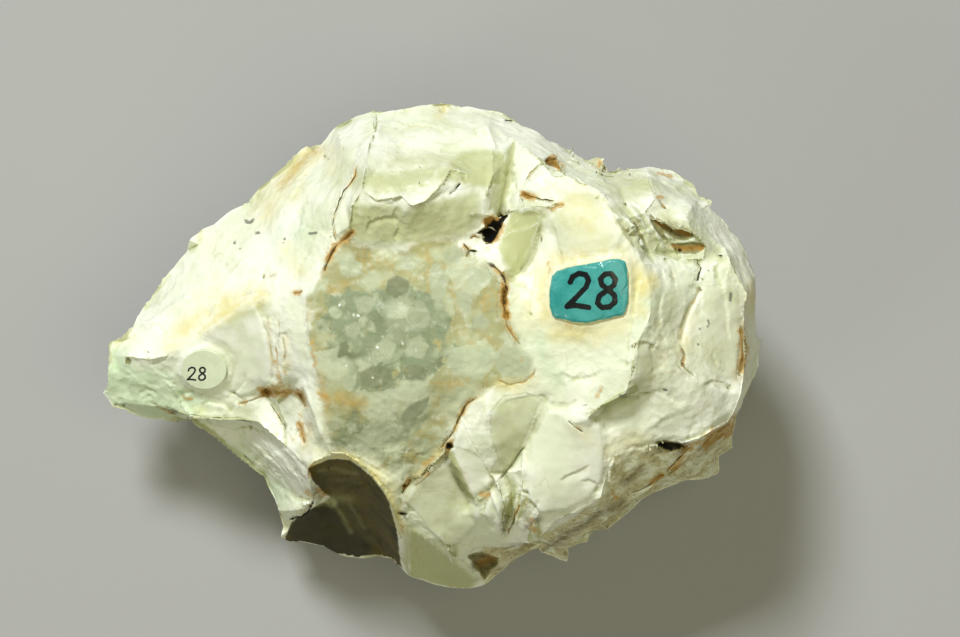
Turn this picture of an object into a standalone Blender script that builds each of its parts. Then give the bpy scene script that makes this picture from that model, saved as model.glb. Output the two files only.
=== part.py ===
"""A hand specimen of flaked chert, lying on its back with its numbered face up.

One solid of stone and two thin labels on it: a small punched paper disc and a patch of enamel.
The top face is a net of ridges and valleys, listed below as points in millimetres, with the
flake scars stretched between them. The underside has its own ridges and one flat spot, at z = 0,
that the stone rests on.
"""

import math
import random

import bmesh
import bpy
from mathutils import Vector
from mathutils.bvhtree import BVHTree
from mathutils.geometry import delaunay_2d_cdt

MM = 0.001

# Driving dimensions, in millimetres
TOP_SPACING = 2.4  # between the points that fill the scars of the top face
UNDER_SPACING = 4.4  # the same for the underside
LINE_CLEARANCE = 0.42  # share of the spacing kept free beside ridges and valleys
TOP_SETTLING = 8  # how often the filling points are evened out between the ridges
UNDER_SETTLING = 2
SCAR_HOLLOW = 0.4  # how far the middle of a scar sinks below the plane of its edges
SCAR_REACH = 5.0  # distance from a ridge at which a scar is at its full depth
ROUGHNESS = 0.03  # height of the small lumps

LONGEST_EDGE = 5.0  # on the steep sides, longer edges are split
SIDE_ROUNDS = 3  # of evening out on the steep sides
SIDE_STEEPNESS = 0.2  # the upward part of the normal below which the surface is a side
FLAKE_APART = 9.0  # between the middles of the flakes struck from the sides
FLAKE_RADIUS = 9.0
FLAKE_DEPTH = 1.7

LABEL_GAP = 0.25  # clearance under the labels
PAPER_CENTRE = (-41.5, -4)
PAPER_RADII = (4.2, 3.6)
PAPER_THICKNESS = 0.25
PAPER_RINGS = 4
PAPER_SIDES = 28
ENAMEL_THICKNESS = 0.4
ENAMEL_EDGE = 0.5  # width of the patch's rounded edge
ENAMEL_SPACING = 0.9

SEED = 11

# The edge seen from above, clockwise from the tip of the prong: x, y and height
RIM = [
    (-61, -8.5, 22), (-60, -7, 23.5), (-60, -4, 25), (-60, -1.5, 23), (-59.5, 1, 21), (-57.5, 2, 21.5),
    (-55.5, 4, 22), (-54.5, 6.5, 19.8), (-52.5, 9, 17.5), (-50.5, 12, 17.7), (-49.5, 13.5, 17.8),
    (-48, 15, 18), (-45.5, 18, 20.8), (-45, 20, 23.5), (-43, 22, 21.8), (-40.5, 23, 20),
    (-39, 24.5, 19.5), (-37, 26, 19), (-34, 27, 18.5), (-32.5, 29.5, 21), (-30, 31.5, 23.5),
    (-27, 34, 22.7), (-25, 36, 21.8), (-23, 37.5, 21), (-20.5, 38, 24), (-19, 39.5, 24.7),
    (-18, 41, 25.3), (-16, 42, 26), (-14, 43, 28.5), (-11, 43.5, 31), (-8.5, 43.5, 31.7),
    (-5.5, 44, 32.3), (-3, 44.5, 33), (0, 45, 31.5), (3, 45, 30), (5.5, 44.5, 28.5), (8.5, 44.5, 28.3),
    (11.5, 44, 28.2), (13.5, 43.5, 28), (14.5, 42.5, 30.2), (17, 41, 32.5), (19.5, 40, 32.8),
    (21.5, 38.5, 33), (24, 38, 30.2), (26, 37, 27.5), (27, 36.5, 28), (29.5, 35, 28.5), (32, 35, 29),
    (33, 33, 31.8), (35.5, 33, 34.5), (40, 33.5, 34), (44, 33, 31.5), (47, 31.5, 33.2), (49, 30, 35),
    (49.5, 28, 36.2), (51.5, 27, 37.3), (51.5, 26, 38.5), (54, 24, 36.5), (55.5, 21.5, 34.5),
    (57.5, 19, 35.2), (58.5, 16, 36), (59.5, 13.5, 38.2), (59.5, 9.5, 40.5), (59.5, 5.5, 37.8),
    (61, 1.5, 35), (60.5, -0.5, 36.5), (60.5, -3.5, 38), (59.5, -6, 36), (58, -9.5, 34),
    (57, -12.5, 31.5), (56, -16.5, 29), (56, -18.5, 26.8), (53.5, -20, 24.7), (53.5, -23, 22.5),
    (51.5, -24.5, 24.5), (47.5, -25, 26.5), (43.5, -26.5, 24.5), (39.5, -28.5, 22.5),
    (36, -31.5, 22.2), (33, -34, 22), (29.5, -36.5, 17), (25.5, -40, 12), (22.5, -39, 13),
    (20, -38, 14), (16, -39.5, 19.5), (13, -42, 19), (10, -44.5, 18.5), (7.5, -45, 16.5),
    (4.5, -45, 14.5), (1.5, -44.5, 15.8), (-1.5, -43.5, 17), (-4.5, -42.5, 15.8), (-6, -41, 14.7),
    (-7, -40, 13.5), (-10.5, -39.5, 11.5), (-14.5, -39.5, 9.5), (-17, -39, 10.8), (-20.5, -37.5, 12),
    (-24.5, -36.5, 11.2), (-27, -36.5, 10.5), (-28.5, -35.5, 12.5), (-28, -33.5, 13),
    (-28.5, -31.5, 15), (-28.5, -30.5, 17), (-29.5, -28.5, 16.2), (-30.5, -26.5, 15.5),
    (-31.5, -24, 16.5), (-33.5, -22.5, 17.5), (-36.5, -20, 18.4), (-40, -17, 19.2),
    (-42.5, -15.5, 20.6), (-44.5, -14, 22), (-46.5, -14, 20.2), (-49.5, -13.5, 18.5), (-54, -13, 19.5),
    (-57, -11.5, 20.5), (-59, -11, 21.2),
]

# Ridges and valleys of the top face: x, y and height along each
TOP_LINES = {
    "prong_crest": [
        (-60, -1.5, 23), (-56, -1.5, 28), (-51.5, -2, 30), (-48.5, -1.5, 31.5), (-45, 1, 33.5),
        (-42, 2, 34.5), (-39.5, 4, 36), (-35.5, 7, 38.5), (-31, 8.5, 42),
    ],
    "prong_shoulder": [(-55.5, 4, 22), (-52, 5, 26), (-45, 9.5, 29)],
    "stain_step": [
        (-20.5, 38, 24), (-19.5, 35, 31), (-20.5, 32, 35), (-23, 29.5, 36.5), (-26.5, 26, 36),
        (-30, 21, 34.5),
    ],
    "prong_keel": [
        (-59, -11, 21.2), (-56.5, -10.5, 22.5), (-51.5, -11, 24), (-47, -12, 25.5), (-44, -13, 27),
        (-38, -13.5, 28.5), (-34.5, -13.5, 29.5), (-31.5, -14, 31), (-29.5, -15.5, 32),
        (-26.5, -18, 33.5), (-24, -20.5, 35), (-22.5, -22.5, 36), (-22, -25, 34), (-21.5, -28, 29),
    ],
    "prong_nose": [(-56, -1.5, 28), (-55.5, -4.5, 26.8), (-56, -7.5, 24.8), (-56.5, -10.5, 22.5)],
    "undercut": [
        (-44.5, -14, 22), (-41, -14.5, 21.5), (-37, -15.5, 22), (-33.5, -15, 24), (-31, -16, 26.5),
        (-28, -18.5, 29),
    ],
    "prong_lip": [
        (-48.5, -1.5, 31.5), (-48, -3.5, 30), (-46.5, -7, 28.8), (-43, -8.5, 28.5), (-38, -9.5, 29.5),
        (-33.5, -9, 31.5), (-31, -8.5, 32),
    ],
    "prong_gully": [(-46.5, -7, 28.8), (-44.5, -9.5, 27), (-42, -11.5, 27.5), (-38, -13.5, 28.5)],
    "scoop_valley": [
        (-31, 8.5, 42), (-30.5, 5, 41.5), (-29.5, 1, 41), (-28.5, -2.5, 40), (-28.5, -7, 37.5),
    ],
    "corner_valley": [(-31.5, -24, 16.5), (-28.5, -26, 19.5), (-25.5, -27.5, 23), (-23, -28, 26)],
    "corner_edge": [
        (-28.5, -30.5, 17), (-26, -30.5, 22), (-24, -30, 25.5), (-23, -29, 27), (-21.5, -28, 29),
    ],
    "corner_joint": [(-23, -28, 26), (-23, -29, 27)],
    "rust_seam": [(-28.5, -7, 37.5), (-31, -8.5, 32)],
    "rust_seam2": [
        (-28.5, -7, 37.5), (-26, -8, 35.5), (-23.5, -10, 37), (-23, -14, 37), (-23, -17.5, 36.5),
        (-24, -20.5, 35),
    ],
    "saddle_rib": [
        (-20, -5.5, 47.5), (-23, -7, 43.5), (-21.5, -11, 44.5), (-20, -15, 44), (-18, -19.5, 42),
    ],
    "saddle_tooth": [(-30, -9, 31.5), (-27, -13.5, 31.5), (-26.5, -18, 33.5)],
    "window_left": [
        (-17.5, 20, 50), (-18.5, 17, 50), (-20, 13, 50), (-22, 9.5, 49.5), (-22, 6, 49.5),
        (-21.5, 0.5, 49), (-20, -5.5, 47.5),
    ],
    "hollow_lip": [
        (-22.5, -22.5, 36), (-21.5, -21, 39), (-18, -19.5, 42), (-15.5, -19.5, 42.5), (-13.5, -21, 43),
        (-11, -23, 43), (-9, -25.5, 42), (-7, -29, 39.5), (-6, -32, 35), (-5.5, -35.5, 28.5),
        (-6, -38.5, 20.5), (-7, -40, 13.5),
    ],
    "window_foot": [(-11, -23, 43), (-8, -24.5, 42.5), (-5.5, -26, 41), (-5, -27, 40)],
    "window_cliff": [
        (-5.5, -26, 41), (-3.5, -23.5, 42.7), (-2, -24, 42.8), (0.5, -21.5, 44.6), (3.5, -18.5, 46.6),
        (4.5, -16, 48.5), (6, -12.5, 49.5), (7.5, -9.5, 51), (10, -8, 51.5), (12, -6.5, 52),
    ],
    "window_right": [
        (9, 16.5, 52), (10.5, 15.5, 53), (13, 13.5, 53.5), (14, 11.5, 54), (14, 8, 54), (14.5, 5, 54),
        (16.5, 3, 54),
    ],
    "window_top": [
        (-17.5, 20, 50), (-15, 18, 50.5), (-11.5, 17.5, 51), (-8, 17.5, 51), (-4.5, 16.5, 51.5),
        (-0.5, 17, 52), (2.5, 18.5, 51.5), (6, 19.5, 51), (9, 19.5, 50),
    ],
    "knob_edge": [
        (-11, 43.5, 31), (-10, 40, 42), (-11, 36.5, 49), (-11.5, 32.5, 54), (-12, 28.5, 55.5),
        (-14, 25.5, 55), (-14.5, 22, 53), (-17.5, 20, 50),
    ],
    "knob_left": [
        (-18, 41, 25.3), (-16.5, 38, 37), (-14.5, 33, 46), (-15.5, 28.5, 49.5), (-17, 25, 50),
        (-17.5, 20, 50),
    ],
    "knob_band": [(-10, 40, 42), (-8.5, 41, 38)],
    "knob_shelf": [
        (-11, 36.5, 49), (-8, 36.5, 47), (-4.5, 36, 45.5), (-0.5, 36, 45), (3.5, 35.5, 45.5),
        (8, 35.5, 46), (11.5, 36, 46.5),
    ],
    "knob_ledge": [
        (-12, 28.5, 55.5), (-9, 28.5, 55), (-5, 29, 54.5), (-1, 30, 54), (1.5, 31.5, 53.5),
        (4, 32.5, 53),
    ],
    "knob_ledge2": [
        (-12, 28.5, 55.5), (-9.5, 26.5, 56.3), (-6.5, 27, 56.8), (-5, 27.5, 57.2), (-3, 25.5, 57.2),
        (-0.5, 26.5, 57), (1.5, 28.5, 56.3), (3, 30.5, 55), (4, 32.5, 53),
    ],
    "knob_crest": [
        (11.5, 44, 28.2), (10.5, 40.5, 40), (11.5, 36, 46.5), (11.5, 31.5, 50.5), (10.5, 27.5, 52),
        (10, 24, 51.8),
    ],
    "knob_facet": [(10.5, 40.5, 40), (13.5, 36, 45.3), (11.5, 36, 46.5)],
    "groove": [
        (17, 41, 32.5), (15.5, 38, 41), (15, 34, 44.3), (14.5, 30.5, 45.8), (13.5, 27, 46.6),
        (13, 24.5, 47),
    ],
    "hole": [
        (10, 23.5, 50.5), (12, 23.5, 49.5), (14, 24.5, 49.5), (13.5, 22.5, 50.3), (12.5, 20, 50.5),
        (10.5, 18.5, 50), (9.5, 20, 49.5), (9, 21.5, 50), (10, 23.5, 50.5),
    ],
    "tent": [
        (15.5, 38, 41), (18, 36, 46), (20.5, 34, 50), (22, 31.5, 52.5), (20, 30.5, 53),
        (17.5, 29.5, 51.5), (15.5, 27.5, 50), (14.5, 25.5, 48.5),
    ],
    "tent_back": [
        (22, 31.5, 52.5), (24.5, 31.5, 52), (28, 30, 53), (31.5, 27.5, 56), (33, 24.5, 58.5),
        (34.5, 22, 59.5), (36.5, 19, 59), (38.5, 15.5, 58.5),
    ],
    "rim_crest": [(21.5, 38.5, 33), (23, 35.5, 41), (24.5, 31.5, 52)],
    "notch": [(16.5, 28, 51), (19, 27.5, 53), (22.5, 26.5, 55)],
    "scoop2_top": [(14, 24.5, 49.5), (17, 25.5, 54), (21.5, 25.5, 55.5), (20.5, 24, 54.3)],
    "scoop2_right": [
        (20.5, 24, 54.3), (19.5, 20.5, 52.4), (18.5, 17.5, 50.8), (17, 14.5, 49.8), (14.5, 12.5, 51),
    ],
    "head_scoop": [(32, 35, 29), (31, 32, 44), (28, 30, 53)],
    "head_scoop2": [
        (31.5, 27.5, 56), (35.5, 25.5, 53.5), (38.5, 24.5, 53.8), (41.5, 23, 53.2), (45, 21.5, 52.8),
        (48, 20.5, 52), (50, 18.5, 50.5),
    ],
    "head_rim": [(40, 33.5, 34), (39.5, 31, 46), (40.5, 27, 52), (38.5, 24.5, 53.8)],
    "head_gap": [
        (34.5, 22, 59.5), (38, 20, 54), (39.5, 17.5, 53.5), (40.5, 17.5, 53), (45, 16, 51.3),
        (49.5, 16, 50.6), (50, 18.5, 50.5),
    ],
    "head_spike": [(38.5, 24.5, 53.8), (40, 21.5, 53.3), (41.5, 19, 52), (43.5, 17, 49.5)],
    "head_edge": [(49.5, 28, 36.2), (47.5, 26, 48), (46.5, 24, 52), (48, 20.5, 52)],
    "flank_crest": [
        (38.5, 15.5, 58.5), (39.5, 10.5, 59), (39.5, 5.5, 59.5), (37.5, 1.5, 60), (36.5, -2.5, 59.5),
        (36, -6, 58.5), (35, -8, 57.2), (31.5, -10, 55.8), (28.5, -12.5, 54.3), (25.5, -13.5, 53.5),
    ],
    "flank_step": [(37.5, 1.5, 60), (40, 0.5, 58.2), (40.5, -3.5, 56.6), (41, -7.5, 54)],
    "flank_valley": [
        (41, -7.5, 54), (38, -8.5, 53), (35.5, -9.5, 52.2), (32.5, -11, 52), (30.5, -12.5, 52.8),
        (28.5, -12.5, 54.3),
    ],
    "groove_right": [
        (48.5, 15.5, 50.5), (48, 12.5, 51.5), (47, 8, 52.5), (45, 3, 53.5), (45.5, 0, 54),
        (46, -3.5, 53.5), (49, -6.5, 52),
    ],
    "flank_face": [
        (54, 16.5, 50.5), (57.5, 10, 48.5), (57, 3.5, 48), (57.5, -2, 47), (56.5, -8, 47.6),
        (55, -12, 46),
    ],
    "cortex_edge": [
        (57, -12.5, 31.5), (54, -13.5, 45), (51, -15, 47.8), (49, -16.5, 48.3), (46, -17.5, 48.2),
        (43.5, -16.5, 48.8), (40.5, -17.5, 49.2), (37.5, -18, 49.6), (34.5, -18.5, 50),
        (33, -21, 49.6), (32, -24, 48), (31, -27, 47), (29, -28.5, 45.5), (26.5, -30, 44.5),
        (23.5, -31.5, 43), (21.5, -33, 41), (19.5, -35.5, 37.5), (16.5, -36, 34), (13, -36, 33),
        (10, -36, 32.5), (7.5, -37.5, 31.5), (5, -39, 29),
    ],
    "cortex_seam": [
        (56, -16.5, 29), (52.5, -16.5, 38), (49.5, -18.5, 43), (46, -21, 42.8), (43.5, -23.5, 41.3),
        (39, -26.5, 39.8), (35, -29.5, 37), (31.5, -32.5, 31.5), (27.5, -35, 28.5), (22, -37, 24),
        (18.5, -38, 22), (16, -39.5, 19.5),
    ],
    "wedge": [(27.5, -35, 28.5), (25.5, -40, 12)],
    "beak": [
        (3.5, -18.5, 46.6), (5, -21.5, 45.5), (6.5, -24.5, 44), (8, -27.5, 42.5), (10, -27, 43),
        (11.5, -25, 44.5), (12, -24, 46),
    ],
    "beak_back": [
        (6, -12.5, 49.5), (7.5, -16, 49.5), (9.5, -19.5, 47.5), (11, -22.5, 45.5), (11.5, -25, 44.5),
    ],
    "beak_foot": [(2.5, -20, 44.4), (3.5, -22, 43), (5, -25, 41), (7, -28, 39)],
    "slab_top": [(-4, -25, 41), (-1, -24.5, 41.5), (1, -22.5, 43), (2.5, -20, 44.4)],
    "blade_left": [
        (10.5, -11.5, 52), (10, -14.5, 50.6), (11, -17.5, 49.4), (12, -20.5, 47), (13.5, -22.5, 44),
    ],
    "blade_right": [
        (21, -9, 52.3), (19.5, -11.5, 51), (18.5, -15, 49), (17, -18, 47), (15, -21, 45.2),
        (13.5, -22.5, 44),
    ],
    "blade_top": [(12, -6.5, 52), (10.5, -9, 52), (10.5, -11.5, 52)],
    "sliver": [(12, -24, 46), (13.5, -27.5, 45.5), (13.5, -30.5, 43), (12.5, -33, 39.5), (10, -36, 32.5)],
    "sliver_left": [(10, -27, 43), (9.5, -30.5, 41), (11, -32.5, 38.5), (12.5, -33, 39.5)],
    "dark_band": [(13.5, -22.5, 44), (15, -25.5, 43.2), (15, -29.5, 41.2), (14, -34, 36), (13, -36, 33)],
    "white_edge": [(17, -18, 47), (16.5, -22, 47.2), (16.5, -25.5, 46)],
    "toe_ridge": [(16.5, -25.5, 46), (18, -26.5, 46), (16.5, -29, 43), (15.5, -32, 39.5), (14, -34, 36)],
    "toe_ridge2": [(19.5, -30.5, 44), (18.5, -33, 40.5), (19.5, -35.5, 37.5)],
    "front_edge": [
        (-5, -27, 40), (-4, -28.5, 38.7), (-2, -31.5, 36.9), (1.5, -35.5, 34.5), (3.5, -37.5, 33),
        (5, -39, 29), (7, -41, 25.5), (9, -43.5, 20.5), (10, -44.5, 18.5),
    ],
    "front_side": [
        (-5, -27, 40), (-5.5, -30, 37.5), (-5, -33.5, 34), (-4, -37.5, 27), (-4, -41, 21),
        (-4.5, -42.5, 15.8),
    ],
    "pit_edge": [
        (7.5, -37.5, 31.5), (8, -40.5, 25), (10, -41.5, 23), (12, -40.5, 24), (13, -38.5, 27),
        (13, -36, 33),
    ],
}

# Single low and high places between the lines
TOP_SPOTS = [
    (-56, 1, 24.5), (-49, 2.5, 28.5), (-49, 8, 25), (-46.5, 13.5, 24), (-42.5, 18, 24.5),
    (-43, 7, 31.5), (-39.5, 12.5, 31.5), (-38, 19, 29.5), (-35, 23.5, 27), (-34.5, 12.5, 36),
    (-32, 17, 36), (-31, 26.5, 28), (-28.5, 29, 28), (-26, 32.5, 28.5), (-23, 34.5, 28),
    (-21.5, 32.5, 31.5), (-29, 14, 41), (-26.5, 19.5, 41), (-23.5, 24, 41.5), (-24.5, 15, 45),
    (-21, 19.5, 46), (-20, 24, 46), (-19, 28.5, 44), (-18, 33.5, 41), (-26, 10.5, 45), (-18.5, 37, 33),
    (-16.5, 34, 42), (-16.5, 40.5, 32), (-58, -4.5, 24.8), (-58.5, -8, 23.3), (-52.5, -5, 28.2),
    (-52, -8, 26.3), (-48, -9.5, 26.7), (-53, -2.5, 29.7), (-44.5, -1.5, 33), (-45, -4.5, 31),
    (-41.5, -0.5, 33.2), (-41.5, -4, 31.7), (-41.5, -7.5, 30.2), (-38, -2.5, 32.6), (-38, -6, 31.4),
    (-34.5, 0.5, 35.8), (-35, 4, 37.3), (-32.5, -4.5, 35), (-33, 0.5, 37), (-35.5, -6.5, 32),
    (-39.5, -11.5, 28.5), (-35, -11, 30), (-31, -11.5, 31), (-36.5, -17.5, 21.3), (-33.5, -19.5, 22),
    (-31, -19, 25), (-30, -22.5, 22.5), (-27, -22, 27), (-25.5, -24, 27.5), (-24.5, -26.5, 26),
    (-27, -25, 23), (-27.5, -32, 17), (-25.5, -31.5, 19), (-23, -30.5, 21.5), (-20.5, -23, 31),
    (-18, -22.5, 31), (-15.5, -22, 32), (-13, -24, 31.5), (-10.5, -27, 29), (-9, -30.5, 25),
    (-7.5, -34, 20.5), (-7.5, -37.5, 16), (-20.5, -25.5, 27.5), (-18.5, -27, 23.5), (-21, -29.5, 20),
    (-18, -30, 17.5), (-15, -28.5, 20), (-13, -31, 17.5), (-11, -35, 14.5), (-15, -34, 12.5),
    (-19, -34, 12), (-23, -33.5, 13), (-26, -34, 13), (-11.5, -38, 11.8), (-26, -10.5, 34.5),
    (-28, -10.5, 33), (-25.5, -14, 33), (-24.5, -16.5, 34.5), (-28.5, -14, 31), (-21.5, -17.5, 40.5),
    (-25.5, -5.5, 42), (-26.5, -3, 43.6), (-26.5, 1.5, 44.8), (-26.5, 5.5, 45.3), (-24, 3.5, 47.3),
    (-23.5, -1, 46.9), (-23.5, 8.5, 47.8), (-27.5, 9, 45.4), (-14, 13, 51.5), (-18, 8.5, 51),
    (-18, 1.5, 50.5), (-12.5, 7, 52), (-12.5, 0, 51.5), (-5, 10.5, 53), (-5, 3.5, 53), (-5, -4, 52.5),
    (2, 10.5, 53.5), (2, 3.5, 53.5), (7.5, 10.5, 53.5), (7.5, 1.5, 53.5), (12, 7, 53.5),
    (-16, -4.5, 50), (-18, -9.5, 48.5), (-12.5, -9, 50.5), (-6, -9, 51), (0, -7.5, 51.5),
    (4.5, -4.5, 52.5), (9, -4, 53), (12.5, 0, 53.5), (-16, -14, 46.5), (-11.5, -14, 47.5),
    (-6, -14.5, 48), (-1, -14, 49), (3, -11.5, 50), (-14.5, -17.5, 44.5), (-9, -18.5, 45.5),
    (-4.5, -20, 45), (-1, -18.5, 46.5), (-16, 15.5, 50.8), (-9, 14.5, 52), (-1.5, 13.5, 52.8),
    (4.5, 16, 52.5), (-5.5, 41.5, 36), (0, 42, 36.5), (5.5, 42, 36.5), (-6.5, 38.5, 42),
    (-1, 39.5, 41), (4.5, 38.5, 41.5), (8, 39.5, 40.5), (-8, 33, 51.5), (-3.5, 32.5, 51),
    (1, 33.5, 49.5), (5.5, 33, 50), (9, 33, 49.5), (6.5, 29.5, 54.5), (7.5, 25.5, 54.6), (4, 26.5, 56),
    (0, 24, 55.3), (-5, 23.5, 55.2), (-9.5, 23.5, 54.8), (-5, 20, 52.5), (0, 20.5, 53), (5.5, 22, 53),
    (-10.5, 20, 52), (-13.5, 22.5, 54), (-14, 28.5, 53), (-13, 34, 50.5), (13, 39.5, 39.5),
    (14.5, 40, 37), (13, 32, 47.4), (12.5, 28.5, 48.8), (11.5, 25.5, 49.6), (-14.5, 38.5, 41),
    (-12.5, 40.5, 38), (11, 21.5, 40), (18.5, 39, 37), (21, 36.5, 42.5), (23.5, 34, 46.5),
    (26.5, 33, 46), (29, 33, 43.5), (17.5, 33, 48.5), (16.5, 30.5, 48), (16.5, 36, 43.5),
    (26, 27.5, 55.5), (23.5, 28.5, 54.5), (20, 28.5, 53.5), (15, 22, 52.6), (16.5, 21, 52),
    (14, 17.5, 51), (16, 17.5, 50.6), (15, 15, 50.2), (12.5, 17, 51.8), (16.5, 24, 53.4),
    (24.5, 22.5, 58), (22.5, 19.5, 55.8), (21, 15.5, 53.8), (20.5, 19.5, 53.8), (18.5, 11.5, 55),
    (27, 24, 58.5), (30.5, 24, 59), (30.5, 19.5, 60), (27, 19.5, 59), (24.5, 15.5, 56.5),
    (20.5, 10.5, 56), (34, 18.5, 60), (26, 12.5, 58.5), (30.5, 14, 60), (34, 13, 60),
    (37.5, 12.5, 59.5), (23.5, 8.5, 57.5), (27, 8.5, 58.5), (30.5, 8.5, 59), (34, 8.5, 59.5),
    (36.5, 7, 60), (27, 4.5, 57.5), (31.5, 3.5, 57.5), (20.5, 4, 56), (18, 7, 55.5), (23.5, 0.5, 55.5),
    (29, 0, 56), (33, -1, 57.5), (18, 0, 54.5), (15.5, -3, 54), (19, -5.5, 54), (23.5, -4.5, 54.5),
    (28, -5.5, 56), (31.5, -5, 57.5), (24.5, -9, 54), (29, -9.5, 56), (15, -7.5, 52), (17, 0.5, 54.3),
    (35.5, 30.5, 46), (34.5, 29, 50.5), (37.5, 27.5, 52), (43, 30.5, 46), (46, 28, 47.5),
    (44, 26, 51.6), (43, 24, 53), (38, 22, 52.5), (43.5, 20.5, 50.2), (43, 19, 49.6),
    (45.5, 19.5, 49.4), (45, 17.5, 48.9), (47.5, 17.5, 48.8), (48, 19, 49.6), (48.5, 17.5, 49.2),
    (50.5, 24, 47), (52.5, 20.5, 47), (51.5, 17.5, 49.5), (55.5, 15.5, 46), (37, 21, 56), (41, 14, 57),
    (44, 12.5, 55.5), (46, 14.5, 53), (42, 8.5, 58.2), (41.5, 4.5, 58.2), (42.5, 0, 57.2),
    (42.5, -4, 56.2), (44, -6.5, 54.6), (38.5, -3.5, 56.6), (50.5, 11.5, 52.8), (54, 10.5, 51),
    (50.5, 6, 52.3), (53.5, 2.5, 50), (50, 0.5, 51.8), (54, -2.5, 48.9), (50, -3.5, 51.2),
    (52.5, -6.5, 49.3), (49.5, -9, 51.3), (52.5, -9.5, 50.2), (47, -12.5, 50.9), (51, -12.5, 49.8),
    (59, 0.5, 42), (32.5, -13.5, 52.9), (36, -11.5, 53.4), (33.5, -16.5, 51.6), (37.5, -15.5, 51.6),
    (42.5, -13, 52), (44, -14.5, 50.8), (40, -20, 47), (36, -22, 46.8), (41.5, -22, 45),
    (38, -24, 43.8), (33.5, -26.5, 43), (31, -29.5, 40.4), (27.5, -32, 35.5), (24, -34, 33),
    (20, -36, 30.5), (16.5, -37.5, 28), (49.5, -21, 34), (47.5, -23, 33), (52, -19, 34), (44, -25, 32),
    (38.5, -28, 30), (33, -32, 27), (53.5, -18, 33.5), (24, -38, 17), (22.5, -37.5, 18),
    (0, -25.5, 40.7), (-1, -28.5, 38.8), (3.5, -28.5, 38.8), (6, -31.5, 36.9), (2.5, -32.5, 36.3),
    (6.5, -34, 35), (4.5, -36, 33.8), (7.5, -22, 46.5), (9, -24.5, 44.8), (6.5, -18.5, 48),
    (8.5, -13, 51), (9, -15.5, 50.5), (13.5, -9, 52.4), (12.5, -13, 50.6), (16.5, -11.5, 51.3),
    (14, -17.5, 47.5), (15.5, -15, 48.9), (18, -9, 52.4), (23.5, -12, 53.3), (21.5, -14.5, 51.8),
    (26, -16.5, 52.2), (30.5, -17.5, 51.8), (21, -19, 50.4), (26, -20.5, 51), (23.5, -23.5, 49.5),
    (28.5, -20.5, 50.5), (29.5, -25, 48.4), (19, -22, 48.8), (21.5, -27.5, 47.2), (25.5, -28.5, 46.3),
    (22, -30, 45), (16.5, -34, 37), (-2.5, -36, 30), (0, -39.5, 24.5), (2.5, -41.5, 21.5),
    (5.5, -43, 20), (2, -38, 28), (10, -39, 26),
]

# The flat spot that the stone rests on
RESTING_SPOT = [
    (-16.5, 5.5, 0), (-7.5, 14, 0), (7, 16, 0), (21.5, 10.5, 0), (27, -1, 0), (20.5, -12.5, 0),
    (4.5, -16, 0), (-11, -10.5, 0),
]

# Ridges of the underside
UNDER_LINES = {
    "b_prong": [(-61, -8.5, 22), (-51, -4, 11), (-37, 0.5, 6), (-16.5, 5.5, 0)],
    "b_upleft": [(-37, 26, 19), (-29, 19, 10), (-16.5, 5.5, 0)],
    "b_top": [(-3, 44.5, 33), (-1.5, 37, 15), (-4, 27, 6), (-7.5, 14, 0)],
    "b_topright": [(26, 37, 27.5), (23, 29.5, 13), (16.5, 23, 5.5), (7, 16, 0)],
    "b_right": [(54, 24, 36.5), (48.5, 20, 16), (39.5, 16, 7), (21.5, 10.5, 0)],
    "b_right2": [(60.5, -0.5, 36.5), (56.5, -0.5, 16), (45, -2, 6.5), (27, -1, 0)],
    "b_lowright": [(47.5, -25, 26.5), (42, -19, 13), (32.5, -15.5, 5), (20.5, -12.5, 0)],
    "b_bottom": [(10, -44.5, 18.5), (9, -36.5, 9), (7, -25, 4), (4.5, -16, 0)],
    "b_lowleft": [(-24.5, -36.5, 11.2), (-20, -29, 5.5), (-15, -19.5, 2.5), (-11, -10.5, 0)],
    "b_ring1": [
        (-51, -4, 11), (-42.5, 9, 9.5), (-29, 19, 10), (-16, 29.5, 13), (-1.5, 37, 15), (11, 35, 14.5),
        (23, 29.5, 13), (36, 26.5, 15), (48.5, 20, 16), (55.5, 10.5, 16.5), (56.5, -0.5, 16),
        (52, -11, 14), (42, -19, 13), (26, -28.5, 9.5), (9, -36.5, 9), (-5, -34.5, 8), (-20, -29, 5.5),
        (-25, -20.5, 7), (-32, -10, 8.5), (-51, -4, 11),
    ],
    "b_ridge1": [(-37, 0.5, 6), (-34, 9, 7), (-29, 19, 10)],
    "b_ridge2": [(-4, 27, 6), (7.5, 27, 8.5), (16.5, 23, 5.5)],
    "b_ridge3": [(39.5, 16, 7), (45, 8, 9.5), (45, -2, 6.5)],
    "b_ridge4": [(32.5, -15.5, 5), (21.5, -22, 7), (7, -25, 4)],
}

UNDER_SPOTS = [
    (-56.5, -4, 15), (-47, 3.5, 12), (-41.5, 16.5, 15), (-20.5, 35, 18), (-11.5, 39.5, 20),
    (7.5, 40.5, 21), (16.5, 36.5, 21), (35, 31, 22), (46, 27.5, 23), (57, 16, 24), (59, 7, 25),
    (58, -7, 24), (55.5, -15.5, 21), (50, -22, 19), (35.5, -28.5, 15.5), (24, -35, 12), (1.5, -41, 12),
    (-8, -38, 9), (-25, -32.5, 8), (-27, -27, 9.5), (-34, -15.5, 14), (-41.5, -10, 13), (-23, 11, 5),
    (-19, 18.5, 7), (-11.5, 23, 6.5), (1.5, 23, 4.5), (32, 18.5, 6.5), (32, 9, 4), (37.5, -10, 6),
    (13, -19.5, 4), (-4, -23, 4), (-19, -14, 3.5), (-27, -2.5, 5), (30, -21, 8), (-0.5, -29, 7),
]

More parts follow.
